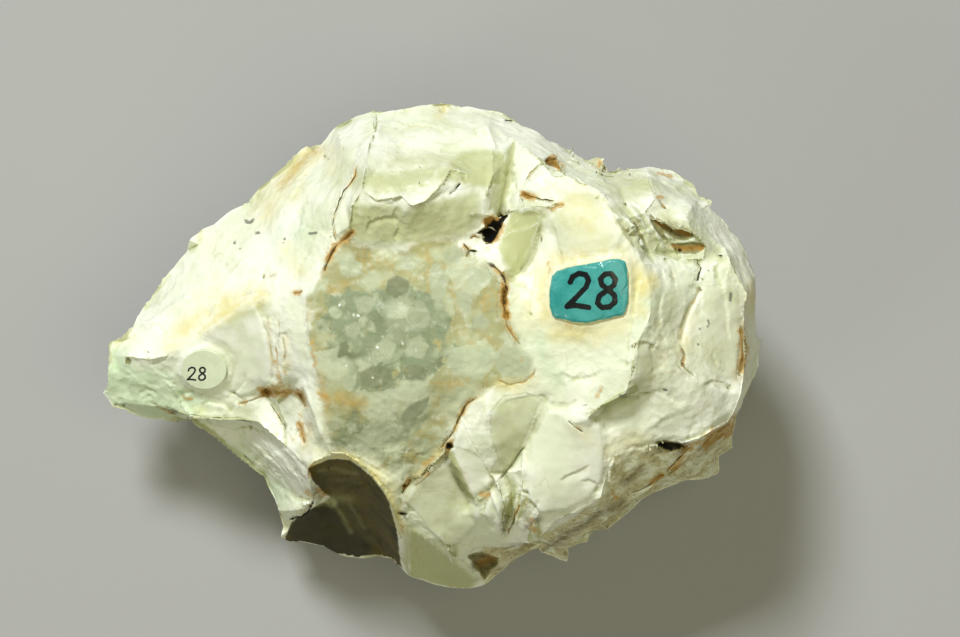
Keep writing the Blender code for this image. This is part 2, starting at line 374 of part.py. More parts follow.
# The enamel patch seen from above, clockwise from its upper left corner
ENAMEL_OUTLINE = [
    (21.5, 10.5), (22, 13), (23, 14), (24.5, 14.5), (27.5, 15), (30.5, 15.5), (32.5, 16), (34, 16),
    (35, 15.5), (35.5, 13.5), (35.5, 11.5), (35.5, 8.5), (35, 6.5), (34.5, 6), (32.5, 5.5), (30.5, 5),
    (28.5, 4.5), (26.5, 4.5), (24.5, 5), (22.5, 5.5), (22, 6), (21.5, 7.5),
]


def clear_scene():
    for old in list(bpy.data.objects):
        bpy.data.objects.remove(old, do_unlink=True)


def material(name, colour, roughness, metallic=0.0):
    made = bpy.data.materials.new(name)
    made.use_nodes = True
    shader = made.node_tree.nodes["Principled BSDF"]
    shader.inputs["Base Color"].default_value = (*colour, 1.0)
    shader.inputs["Roughness"].default_value = roughness
    shader.inputs["Metallic"].default_value = metallic
    return made


def chert_material():
    return material("chert_stone", (0.72, 0.72, 0.58), 0.5)


def paper_material():
    return material("label_paper", (0.86, 0.86, 0.8), 0.75)


def enamel_material():
    return material("teal_enamel", (0.05, 0.33, 0.3), 0.15)


def near_segment(x, y, start, end):
    """Distance in plan from a point to the segment between two others."""
    along_x, along_y = end[0] - start[0], end[1] - start[1]
    length_squared = along_x * along_x + along_y * along_y
    share = 0.0
    if length_squared > 0.0:
        share = ((x - start[0]) * along_x + (y - start[1]) * along_y) / length_squared
        share = min(1.0, max(0.0, share))
    return math.hypot(x - start[0] - share * along_x, y - start[1] - share * along_y)


def segments_of(rim, lines):
    """Every stretch of rim, ridge and valley as a pair of points."""
    found = list(zip(rim, rim[1:] + rim[:1]))
    for line in lines:
        found.extend(zip(line, line[1:]))
    return found


def inside(x, y, outline):
    """Whether a point of the plan lies within a closed outline."""
    within = False
    for start, end in zip(outline, outline[1:] + outline[:1]):
        if (start[1] > y) != (end[1] > y):
            crossing = start[0] + (y - start[1]) * (end[0] - start[0]) / (end[1] - start[1])
            within ^= x < crossing
    return within


def net_of(rim, lines, spots):
    """Triangles over the plan of the rim that keep every ridge and valley as an edge."""
    points = []
    index = {}
    for point in rim + [p for line in lines for p in line] + spots:
        key = point[:2]
        if key not in index:
            index[key] = len(points)
            points.append(point)
    edges = [(index[a[:2]], index[b[:2]]) for line in lines for a, b in zip(line, line[1:])]
    plan = [Vector(point[:2]) for point in points]
    outline = [[index[point[:2]] for point in rim]]
    flat, _, faces, origin, _, _ = delaunay_2d_cdt(plan, edges, outline, 1, 1e-4)
    net = [Vector((p.x, p.y, points[source[0]][2])) for p, source in zip(flat, origin)]
    return net, faces


def filling(rim, lines, spots, spacing, hollow, rng):
    """Points between the ridges, in staggered rows, each lowered into its scar."""
    net, faces = net_of(rim, lines, spots)
    surface = BVHTree.FromPolygons(net, faces)
    segments = segments_of(rim, lines)
    left = min(point[0] for point in rim)
    right = max(point[0] for point in rim)
    low = min(point[1] for point in rim)
    high = max(point[1] for point in rim)
    row_height = spacing * math.sqrt(0.75)
    made = []
    for row in range(int((high - low) / row_height) + 1):
        for column in range(int((right - left) / spacing) + 1):
            x = left + (column + 0.5 * (row % 2) + rng.uniform(-0.18, 0.18)) * spacing
            y = low + (row + rng.uniform(-0.18, 0.18)) * row_height
            if not inside(x, y, rim):
                continue
            clearance = min(near_segment(x, y, *segment) for segment in segments)
            if clearance < LINE_CLEARANCE * spacing:
                continue
            hit = surface.ray_cast(Vector((x, y, 200.0)), Vector((0.0, 0.0, -1.0)))[0]
            if hit is None:
                continue
            sink = hollow * (1.0 - math.exp(-clearance / SCAR_REACH * 2.0))
            made.append((x, y, hit.z - sink + rng.uniform(-ROUGHNESS, ROUGHNESS)))
    return made


def level_at(point, near):
    """Height, at a point of the plan, of the plane that fits its neighbours best."""
    middle = sum(near, Vector()) / len(near)
    spans = [other - middle for other in near]
    xx = sum(span.x * span.x for span in spans)
    xy = sum(span.x * span.y for span in spans)
    yy = sum(span.y * span.y for span in spans)
    xz = sum(span.x * span.z for span in spans)
    yz = sum(span.y * span.z for span in spans)
    spread = xx * yy - xy * xy
    slope_x = (xz * yy - yz * xy) / spread
    slope_y = (yz * xx - xz * xy) / spread
    return middle.z + slope_x * (point.x - middle.x) + slope_y * (point.y - middle.y)


def settled(net, faces, fixed, rounds):
    """The net with each free point moved towards the plane of its neighbours."""
    neighbours = [set() for _ in net]
    for a, b, c in faces:
        neighbours[a] |= {b, c}
        neighbours[b] |= {a, c}
        neighbours[c] |= {a, b}
    free = [i for i, point in enumerate(net) if (round(point.x, 3), round(point.y, 3)) not in fixed]
    for _ in range(rounds):
        levels = [level_at(net[i], [net[n] for n in neighbours[i]]) for i in free]
        for i, level in zip(free, levels):
            net[i].z += 0.5 * (level - net[i].z)
    return net


def face_of_stone(rim, lines, spots, spacing, hollow, rounds, rng):
    """One side of the stone: its net of points and its triangles, facing up."""
    extra = filling(rim, lines, spots, spacing, hollow, rng)
    clear = [p for p in extra if all(math.hypot(p[0] - s[0], p[1] - s[1]) > 0.4 * spacing for s in spots)]
    net, faces = net_of(rim, lines, spots + clear)
    fixed = {(round(p[0], 3), round(p[1], 3)) for line in [rim] + lines for p in line}
    return settled(net, faces, fixed, rounds), faces


def is_side(vert, held):
    """Whether a corner belongs to the steep sides or the underside and isn't on a listed line."""
    return vert.normal.z < SIDE_STEEPNESS and tuple(round(c / MM, 2) for c in vert.co) not in held


def even_sides(shell, held):
    """Splits the long thin triangles of the sides and evens them out."""
    for _ in range(2):
        stretched = [edge for edge in shell.edges if edge.calc_length() > LONGEST_EDGE * MM]
        bmesh.ops.subdivide_edges(shell, edges=stretched, cuts=1)
        bmesh.ops.triangulate(shell, faces=shell.faces)
    shell.normal_update()
    sides = [vert for vert in shell.verts if is_side(vert, held) and vert.co.z > 0.01 * MM]
    for _ in range(SIDE_ROUNDS):
        bmesh.ops.smooth_vert(shell, verts=sides, factor=0.5, use_axis_x=True, use_axis_y=True, use_axis_z=True)
    shell.normal_update()


def strike_flakes(shell, held, rng):
    """Shallow bowls in the sides and the underside, with a ridge wherever two of them meet."""
    sides = [vert for vert in shell.verts if is_side(vert, held) and vert.co.z > 0.01 * MM]
    middles = []
    for vert in rng.sample(sides, len(sides)):
        if all((vert.co - middle).length > FLAKE_APART * MM for middle, _ in middles):
            middles.append((vert.co.copy(), rng.uniform(0.55, 1.0)))
    sinks = []
    for vert in sides:
        bowls = [share * (1.0 - ((vert.co - middle).length / (FLAKE_RADIUS * MM)) ** 2) for middle, share in middles]
        sinks.append(max(0.0, max(bowls)))
    for vert, sink in zip(sides, sinks):
        vert.co -= vert.normal * sink * FLAKE_DEPTH * MM
        vert.co.z = max(vert.co.z, 0.0)


def mesh_object(name, shell, finish):
    mesh = bpy.data.meshes.new(name)
    shell.to_mesh(mesh)
    shell.free()
    mesh.materials.append(finish)
    made = bpy.data.objects.new(name, mesh)
    bpy.context.scene.collection.objects.link(made)
    return made


def chert_body(rng):
    """The stone, and its top surface for the labels to follow."""
    top_lines = list(TOP_LINES.values())
    top, top_faces = face_of_stone(RIM, top_lines, TOP_SPOTS, TOP_SPACING, SCAR_HOLLOW, TOP_SETTLING, rng)
    resting_loop = RESTING_SPOT + RESTING_SPOT[:1]
    under_lines = list(UNDER_LINES.values()) + [resting_loop]
    under, under_faces = face_of_stone(RIM, under_lines, UNDER_SPOTS, UNDER_SPACING, 0.0, UNDER_SETTLING, rng)
    for point in under:
        if inside(point.x, point.y, RESTING_SPOT):
            point.z = 0.0
    shell = bmesh.new()
    for net, faces in ((top, top_faces), (under, [face[::-1] for face in under_faces])):
        corners = [shell.verts.new(point * MM) for point in net]
        for face in faces:
            shell.faces.new([corners[i] for i in face])
    bmesh.ops.remove_doubles(shell, verts=shell.verts, dist=0.01 * MM)
    bmesh.ops.recalc_face_normals(shell, faces=shell.faces)
    held = {tuple(round(c, 2) for c in point) for line in [RIM] + top_lines + under_lines for point in line}
    even_sides(shell, held)
    strike_flakes(shell, held, rng)
    for face in shell.faces:
        face.smooth = False
    body = mesh_object("chert_body", shell, chert_material())
    return body, BVHTree.FromPolygons(top, top_faces)


def drape(plan, faces, heights, surface):
    """A closed thin sheet that follows the stone below it, from a net in plan.

    heights gives each point's thickness; the underside stays LABEL_GAP above the stone.
    """
    shell = bmesh.new()
    sides = []
    for lift in ([LABEL_GAP] * len(plan), [LABEL_GAP + height for height in heights]):
        corners = []
        for (x, y), up in zip(plan, lift):
            hit, normal, _, _ = surface.ray_cast(Vector((x, y, 200.0)), Vector((0.0, 0.0, -1.0)))
            corners.append(shell.verts.new((hit + Vector((0.0, 0.0, up / max(normal.z, 0.5)))) * MM))
        sides.append(corners)
    lower, upper = sides
    for face in faces:
        shell.faces.new([upper[i] for i in face])
        shell.faces.new([lower[i] for i in reversed(face)])
    top_faces = [face for face in shell.faces if face.verts[0] in set(upper)]
    border = [edge for face in top_faces for edge in face.edges if len(edge.link_faces) == 1]
    place = {corner: i for i, corner in enumerate(upper)}
    for edge in border:
        a, b = (place[corner] for corner in edge.verts)
        shell.faces.new([upper[a], upper[b], lower[b], lower[a]])
    bmesh.ops.recalc_face_normals(shell, faces=shell.faces)
    return shell


def paper_disc(surface):
    """The round number label, punched from paper and glued in the hollow of the prong."""
    plan = [PAPER_CENTRE]
    for ring in range(1, PAPER_RINGS + 1):
        for side in range(PAPER_SIDES):
            angle = 2.0 * math.pi * side / PAPER_SIDES
            share = ring / PAPER_RINGS
            plan.append((PAPER_CENTRE[0] + share * PAPER_RADII[0] * math.cos(angle),
                         PAPER_CENTRE[1] + share * PAPER_RADII[1] * math.sin(angle)))
    faces = []
    for side in range(PAPER_SIDES):
        following = (side + 1) % PAPER_SIDES
        faces.append((0, 1 + side, 1 + following))
        for ring in range(PAPER_RINGS - 1):
            inner, outer = 1 + ring * PAPER_SIDES, 1 + (ring + 1) * PAPER_SIDES
            faces.append((inner + side, outer + side, outer + following, inner + following))
    shell = drape(plan, faces, [PAPER_THICKNESS] * len(plan), surface)
    return mesh_object("paper_disc", shell, paper_material())


def enamel_patch(surface):
    """The painted patch, as a film of enamel with a rounded edge."""
    left = min(point[0] for point in ENAMEL_OUTLINE)
    right = max(point[0] for point in ENAMEL_OUTLINE)
    low = min(point[1] for point in ENAMEL_OUTLINE)
    high = max(point[1] for point in ENAMEL_OUTLINE)
    segments = segments_of(ENAMEL_OUTLINE, [])
    middle = (0.5 * (left + right), 0.5 * (low + high))
    inner = [(x + (middle[0] - x) * 2.0 * ENAMEL_EDGE / (right - left),
              y + (middle[1] - y) * 2.0 * ENAMEL_EDGE / (high - low)) for x, y in ENAMEL_OUTLINE]
    plan = list(ENAMEL_OUTLINE) + inner
    for row in range(int((high - low) / ENAMEL_SPACING) + 1):
        for column in range(int((right - left) / ENAMEL_SPACING) + 1):
            x = left + (column + 0.5 * (row % 2)) * ENAMEL_SPACING
            y = low + row * ENAMEL_SPACING
            if inside(x, y, inner) and min(near_segment(x, y, *s) for s in segments) > 2.0 * ENAMEL_EDGE:
                plan.append((x, y))
    outline = [list(range(len(ENAMEL_OUTLINE)))]
    flat, _, faces, _, _, _ = delaunay_2d_cdt([Vector(p) for p in plan], [], outline, 1, 1e-4)
    depth = [min(near_segment(p.x, p.y, *s) for s in segments) for p in flat]
    heights = [ENAMEL_THICKNESS * min(1.0, 0.3 + d / ENAMEL_EDGE) for d in depth]
    shell = drape([tuple(p) for p in flat], faces, heights, surface)
    return mesh_object("enamel_patch", shell, enamel_material())


def main():
    clear_scene()
    rng = random.Random(SEED)
    _, surface = chert_body(rng)
    paper_disc(surface)
    enamel_patch(surface)


main()
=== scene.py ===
"""The finish of a hand specimen of pale flaked chert, lying on its back with its numbered face up.

The stone is a fine copy of its solid. Cracks, ledges, ribs, pits, stains and painted shade are placed
on a plan of the upper side: millimetres to the right of its middle and up from it, as they are seen
from a sight point straight above. The two labels are fine copies of their own solids.
"""

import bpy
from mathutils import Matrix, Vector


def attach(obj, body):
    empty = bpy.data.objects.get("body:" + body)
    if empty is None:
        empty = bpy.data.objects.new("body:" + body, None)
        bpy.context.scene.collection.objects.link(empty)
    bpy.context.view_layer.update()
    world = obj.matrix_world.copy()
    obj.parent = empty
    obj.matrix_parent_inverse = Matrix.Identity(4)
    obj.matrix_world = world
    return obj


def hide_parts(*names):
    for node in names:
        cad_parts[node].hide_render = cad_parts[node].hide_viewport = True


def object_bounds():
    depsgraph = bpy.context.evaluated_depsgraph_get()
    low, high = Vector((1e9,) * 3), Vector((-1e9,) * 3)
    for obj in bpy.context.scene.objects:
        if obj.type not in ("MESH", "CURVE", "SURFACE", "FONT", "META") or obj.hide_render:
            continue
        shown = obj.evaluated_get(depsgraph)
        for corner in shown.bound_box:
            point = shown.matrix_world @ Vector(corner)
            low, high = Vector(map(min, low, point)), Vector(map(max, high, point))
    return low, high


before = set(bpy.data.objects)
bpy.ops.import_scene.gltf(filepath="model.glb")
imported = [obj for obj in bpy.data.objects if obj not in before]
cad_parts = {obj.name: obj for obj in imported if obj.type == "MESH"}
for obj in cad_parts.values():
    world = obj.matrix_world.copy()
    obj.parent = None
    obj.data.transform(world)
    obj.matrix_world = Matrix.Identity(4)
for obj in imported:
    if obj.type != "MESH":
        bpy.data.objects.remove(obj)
cad_box = [list(corner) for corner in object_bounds()]

import itertools
import math

import bmesh
import bpy
import numpy as np
from mathutils import Vector
from mathutils.bvhtree import BVHTree
from mathutils.geometry import convex_hull_2d
from mathutils.kdtree import KDTree

MM = 0.001

# The plan, in millimetres
SIGHT = (9.136, 5.409, 940.0)
PLAN_HEIGHT = 40.0  # lengths at this height are drawn at their own size
VIEW_WIDTH = 174.55  # how much of the plan the camera takes in
DRIFT = 0.14  # how far lines are pushed about, so that none runs quite straight

# Fineness of the meshes, in millimetres between neighbouring points
TOP_GRAIN = 0.7
SIDE_GRAIN = 1.1
UNDER_GRAIN = 1.5
LINE_GRAIN = 0.34
LINE_REACH = 0.55  # the finest grain is kept this near a line
PAPER_GRAIN = 0.12
ENAMEL_GRAIN = 0.2

# Other lengths in millimetres
WELD = 0.002  # points nearer to each other than this are one point
SLIVER = 0.004  # triangles thinner than this are taken out
FAR = 9.0  # stands for any distance or depth that is too great to matter
STRIATION_WIDTH = 0.32  # from the crest of a fine rib to its foot
CRACK_WALL = 0.22  # how far the wall of a crack leans out beyond its mouth

# Surfaces that meet at more than these angles show a hard edge
STONE_CRISP = math.radians(22)
LABEL_CRISP = math.radians(50)

# Cracks: half width, depth, blackness, reach and strength of the rust beside it, and its way
CRACKS = {
    "prong_side": (0.1, 0.3, 0.3, 0.5, 0.2, [(-18.9, 37.4), (-18.7, 35.7), (-19.1, 33.9),
        (-19.5, 31.7)]),
    "left_long": (0.13, 0.5, 0.9, 0.5, 0.9, [(-22.5, 27.7), (-22.7, 25.9), (-23.6, 24.5), (-24.7, 23.2),
        (-25.6, 21.2), (-26.5, 19.2), (-26.9, 17.2), (-26.5, 15), (-25.8, 13.7)]),
    "left_foot": (0.2, 0.5, 0.75, 1.0, 1.0, [(-25.8, 13.7), (-26.7, 12.3), (-27.6, 10.3),
        (-28.4, 8.3)]),
    "left_branch": (0.2, 0.4, 0.5, 1.0, 1.0, [(-25.8, 13.7), (-24.5, 14.3), (-22.9, 15.9)]),
    "top_dash": (0.16, 0.4, 1.0, 0.3, 0.0, [(4.5, 36.1), (6, 35.9)]),
    "knob_dash": (0.17, 0.5, 1.0, 0.4, 0.1, [(-5.6, 22.6), (-4.4, 23.5), (-3.5, 24.6)]),
    "tent_low": (0.12, 0.4, 0.7, 0.5, 0.8, [(8.2, 25), (9.1, 26.5), (10.4, 27.7), (11.8, 28.6),
        (12.9, 29.4)]),
    "notch_dash": (0.16, 0.5, 1.0, 0.5, 0.9, [(7.5, 22.6), (9.1, 22.3), (10.9, 21.8), (13.6, 21.3)]),
    "notch_low": (0.12, 0.4, 0.4, 0.6, 0.8, [(12.7, 19.9), (14, 20.6), (15.3, 20.8)]),
    "hole_tail": (0.15, 0.5, 0.9, 0.6, 1.0, [(3.3, 18.1), (4.2, 18.8), (5.3, 19.5)]),
    "hole_left": (0.12, 0.4, 0.8, 0.6, 0.8, [(0, 14.6), (-1.1, 15), (-1.8, 14.5)]),
    "small_y": (0.22, 0.5, 1.0, 0.5, 0.8, [(-2.9, 13.7), (-2, 12.6), (-0.4, 12.1)]),
    "small_y_tail": (0.15, 0.4, 0.6, 0.6, 0.8, [(-2, 12.6), (-2.4, 11.2)]),
    "window_right": (0.3, 0.5, 0.85, 0.9, 1.0, [(1.1, 10.3), (2.5, 9.5), (3.6, 8.5), (4.5, 7.2),
        (4.9, 5.2), (4.5, 3), (4.5, 1.2), (5.1, -0.3)]),
    "window_right_low": (0.12, 0.4, 0.5, 0.7, 0.8, [(4.5, 1.2), (4.9, -1.2), (6, -3.2), (7.5, -5)]),
    "clast_foot": (0.1, 0.3, 0.45, 0.6, 0.7, [(3.1, -11.2), (5.5, -12.1), (8, -11.5), (9.6, -10.3),
        (10.4, -9)]),
    "lower_right": (0.17, 0.6, 0.8, 0.8, 1.0, [(-0.4, -14.1), (-2.2, -15.4), (-3.1, -16.8), (-4, -18.5),
        (-4.7, -20.3), (-6, -22.1), (-7.3, -23.9)]),
    "lower_right_low": (0.14, 0.5, 0.8, 0.6, 0.9, [(-5.1, -23), (-6.2, -24.3), (-7.8, -25.9),
        (-9.5, -27.4), (-10.7, -28.8)]),
    "hollow_top_crack": (0.22, 0.6, 0.95, 0.6, 0.8, [(-12.5, -29.2), (-13.1, -30.1), (-13.8, -31),
        (-14.2, -31.9)]),
    "hollow_top_tail": (0.12, 0.3, 0.6, 0.6, 0.8, [(-12.5, -29.2), (-11.6, -29.2), (-10.9, -29)]),
    "right_long_top": (0.2, 0.6, 0.95, 0.4, 0.3, [(39.6, 10.8), (39.6, 9.9), (40.2, 9.2), (39.8, 7.9),
        (39.5, 6.6)]),
    "right_long": (0.42, 0.6, 0.22, 0.7, 0.6, [(38.9, 6.1), (39.8, 5), (38.9, 3), (38, 1.4), (37.1, -1),
        (36.5, -3.2), (36.4, -4.8)]),
    "right_long_low": (0.14, 0.4, 0.5, 0.6, 0.6, [(36.4, -4.8), (37.3, -6.5), (36.7, -8.5), (38, -9.7),
        (39.3, -10.8)]),
    "right_edge": (0.22, 0.5, 0.4, 1.1, 1.0, [(47.8, -1), (47.6, -2.6), (48.2, -4.8), (48, -7),
        (47.6, -9), (46.9, -10.6)]),
    "fork": (0.1, 0.3, 0.8, 0.5, 0.6, [(16, -18.6), (17.1, -19.5), (18.9, -20.8)]),
    "blade_crack": (0.1, 0.35, 0.7, 0.3, 0.2, [(8.2, -23.2), (6.5, -25.4), (5.1, -27.4), (3.6, -29.4)]),
    "prong_dots": (0.13, 0.3, 0.5, 0.5, 0.7, [(-60, -15.2), (-58.5, -16.1), (-56.9, -16.8),
        (-54.9, -17.7)]),
    "prong_notch": (0.25, 0.5, 0.9, 0.3, 0.2, [(-66.5, -15.5), (-65.6, -16.1), (-64.4, -15.7)]),
    # Painted shadow line under the prong's keel, drawn as a dark crack
    "undercut": (0.18, 0.4, 0.6, 0.3, 0.0, [(-58.2, -16.1), (-54.9, -17.1), (-52, -17.6), (-49.5, -18),
        (-46.4, -18.2), (-43.1, -18.5), (-40.7, -19)]),
    "corner_crack": (0.22, 0.7, 1.0, 0.5, 0.5, [(-30, -33), (-30.7, -33.9), (-31.1, -35),
        (-32.4, -35.9), (-33.6, -36.3), (-34.9, -36.5)]),
    "saddle_rust": (0.15, 0.4, 0.6, 0.9, 1.0, [(-32.9, -13.4), (-32.2, -14.8), (-31.8, -16.3)]),
    "saddle_rust2": (0.14, 0.4, 0.5, 0.8, 1.0, [(-32.7, -19.2), (-32.2, -21), (-31.8, -22.8)]),
    "saddle_line": (0.1, 0.35, 0.8, 0.3, 0.2, [(-38.2, -15.4), (-36.9, -17.4), (-35.6, -19.2),
        (-35.3, -20.3)]),
    "seam_a": (0.1, 0.2, 0.2, 0.5, 0.5, [(-36.7, -0.3), (-36.5, -2.5), (-36.7, -4.8), (-36.5, -6.1)]),
    "seam_b": (0.11, 0.3, 0.35, 0.6, 0.6, [(-36, -3.5), (-35.6, -5.4), (-35.5, -6.8), (-35.8, -8.3)]),
    "seam_c": (0.08, 0.2, 0.15, 0.5, 0.4, [(-36.9, -2.8), (-37.1, -5), (-36.9, -7.5), (-37.1, -9.7)]),
    "cortex_seam": (0.16, 0.6, 0.85, 0.9, 1.0, [(38.5, -23.2), (37.5, -24.1), (36.2, -25.4),
        (34.9, -26.8), (33.8, -28.1)]),
    "cortex_seam2": (0.12, 0.4, 0.7, 0.8, 1.0, [(33.8, -28.1), (31.8, -29.4), (30, -30.8),
        (27.3, -31.9)]),
    "stray_a": (0.1, 0.25, 0.4, 0.7, 0.9, [(-34, 4.6), (-33.1, 4.6), (-32.2, 5)]),
    "stray_b": (0.13, 0.3, 0.7, 0.5, 0.7, [(-39.3, 8.1), (-39.3, 7.2)]),
    "stray_c": (0.1, 0.2, 0.3, 0.5, 0.9, [(-38.2, 7.5), (-37.3, 8.1)]),
    "toe_seam": (0.12, 0.4, 0.7, 0.6, 0.8, [(7.3, -33.7), (6.5, -35.5), (5.8, -37.4), (5.1, -39.4)]),
    "lens": (0.32, 0.6, 1.0, 0.4, 0.3, [(-15.1, -35.2), (-14.2, -35.5), (-13.1, -35.7)]),
    "head_mark": (0.1, 0.3, 0.3, 0.5, 0.6, [(32.7, 21.5), (33.5, 20.5), (34, 19.9)]),
    "recess_edge": (0.12, 0.15, 0.1, 0.4, 0.1, [(-40.4, 3.2), (-40.2, 1.4), (-39.5, -0.6),
        (-38.5, -3.2), (-38, -5.7), (-37.8, -8.5), (-37.8, -11.9)]),
    "recess_foot": (0.12, 0.35, 0.5, 0.6, 0.5, [(-44, -15.5), (-42.5, -15.2), (-40.7, -14.6),
        (-39.3, -13.9)]),
}

# Pits: depth, width of the wall, blackness of their painted shade, and the outline
PITS = {
    "black_hole": (2.6, 0.35, 1.0, [(0.7, 16.3), (1.8, 17.5), (2.9, 17.9), (4, 19), (5.3, 19.5),
        (4.7, 18.3), (3.8, 16.6), (3.1, 15), (2.2, 13.7), (1.3, 13.5), (0.5, 14.3), (0.2, 15.5),
        (-0.7, 15.5)]),
    "lower_hole": (0.8, 0.4, 0.75, [(-6.2, -22.6), (-5.1, -22.5), (-4.7, -23.4), (-5.5, -23.9),
        (-6.4, -23.7)]),
    "prong_pit": (0.4, 0.5, 0.4, [(-64.7, -7.2), (-63.8, -7), (-63.3, -7.7), (-63.6, -8.5),
        (-64.5, -8.3)]),
    "hole_step": (0.9, 0.4, 0.45, [(0.7, 18.1), (1.8, 18.6), (3.6, 18.1), (2.5, 17.4), (1.8, 16.1),
        (0.7, 15.7), (0.9, 16.8)]),
    "dimple": (0.5, 0.6, 0.0, [(-7.6, 38.5), (-6.2, 38.6), (-5.5, 37.9), (-6.4, 37.2), (-7.5, 37.5)]),
    "rust_pit": (0.7, 0.4, 0.6, [(-40, -13.2), (-38.9, -12.6), (-38, -13.2), (-38.2, -14.3),
        (-39.5, -14.3)]),
    "window_pit": (0.6, 0.3, 0.6, [(4, 5.4), (4.9, 5.2), (4.9, 2.6), (4.2, 1.7), (3.8, 3.4)]),
    "window_pit2": (0.4, 0.3, 0.5, [(4.2, 1.5), (5.3, 1.2), (5.1, -0.3), (4.2, 0.1)]),
    "tent_pit": (0.8, 0.5, 0.55, [(11.8, 28.6), (12.7, 29.5), (13.8, 28.8), (15.1, 27), (13.6, 27.5),
        (12.4, 27.7)]),
    "notch_pit": (0.4, 0.4, 0.4, [(7.3, 22.3), (7.6, 23.2), (9.1, 22.5), (8.9, 21.7)]),
    "head_spot": (0.3, 0.3, 0.85, [(35.3, 12.6), (36.2, 12.8), (36.9, 12.5), (36.4, 11.9),
        (35.5, 12.1)]),
    "head_lens_a": (0.5, 0.4, 0.42, [(30.9, 19.2), (32, 18.1), (33.1, 16.3), (34.2, 14.1), (33.3, 14.3),
        (32, 15.9), (30.9, 17.7)]),
    "head_lens_b": (0.7, 0.5, 0.5, [(32, 18.5), (33.8, 17.5), (36, 16.6), (38.2, 15.9), (39.1, 14.8),
        (37.5, 14.1), (35.3, 14.5), (33.5, 15.7), (32.4, 17)]),
    "head_lens_c": (0.6, 0.4, 0.48, [(34.5, 13.7), (36.4, 13.7), (38.5, 13.9), (40.4, 13.7),
        (41.1, 12.8), (39.6, 11.9), (37.5, 11.7), (35.6, 12.1)]),
    "head_lens_d": (0.3, 0.3, 0.3, [(27.6, 18.1), (28.7, 16.8), (29.8, 14.8), (30.4, 13.2),
        (29.3, 14.3), (28.2, 16.1)]),
    "cavity": (0.8, 0.6, 0.75, [(31.8, -22.5), (33.6, -22.1), (36, -22.5), (38.2, -23.2), (37.1, -23.9),
        (34.5, -24.3), (32.4, -23.5)]),
    "tail_cavity": (0.6, 0.6, 0.56, [(-2.4, -43.2), (-1.1, -42.6), (0.4, -42.3), (2, -43), (3.5, -43.5),
        (3.3, -44.8), (2.2, -45.7), (0.9, -47.5), (0.2, -46.6), (-0.7, -45.7), (-1.5, -44.3)]),
    "small_hole": (0.4, 0.3, 0.9, [(-14.2, -30.5), (-13.6, -29.9), (-13.3, -30.5), (-13.8, -31)]),
}

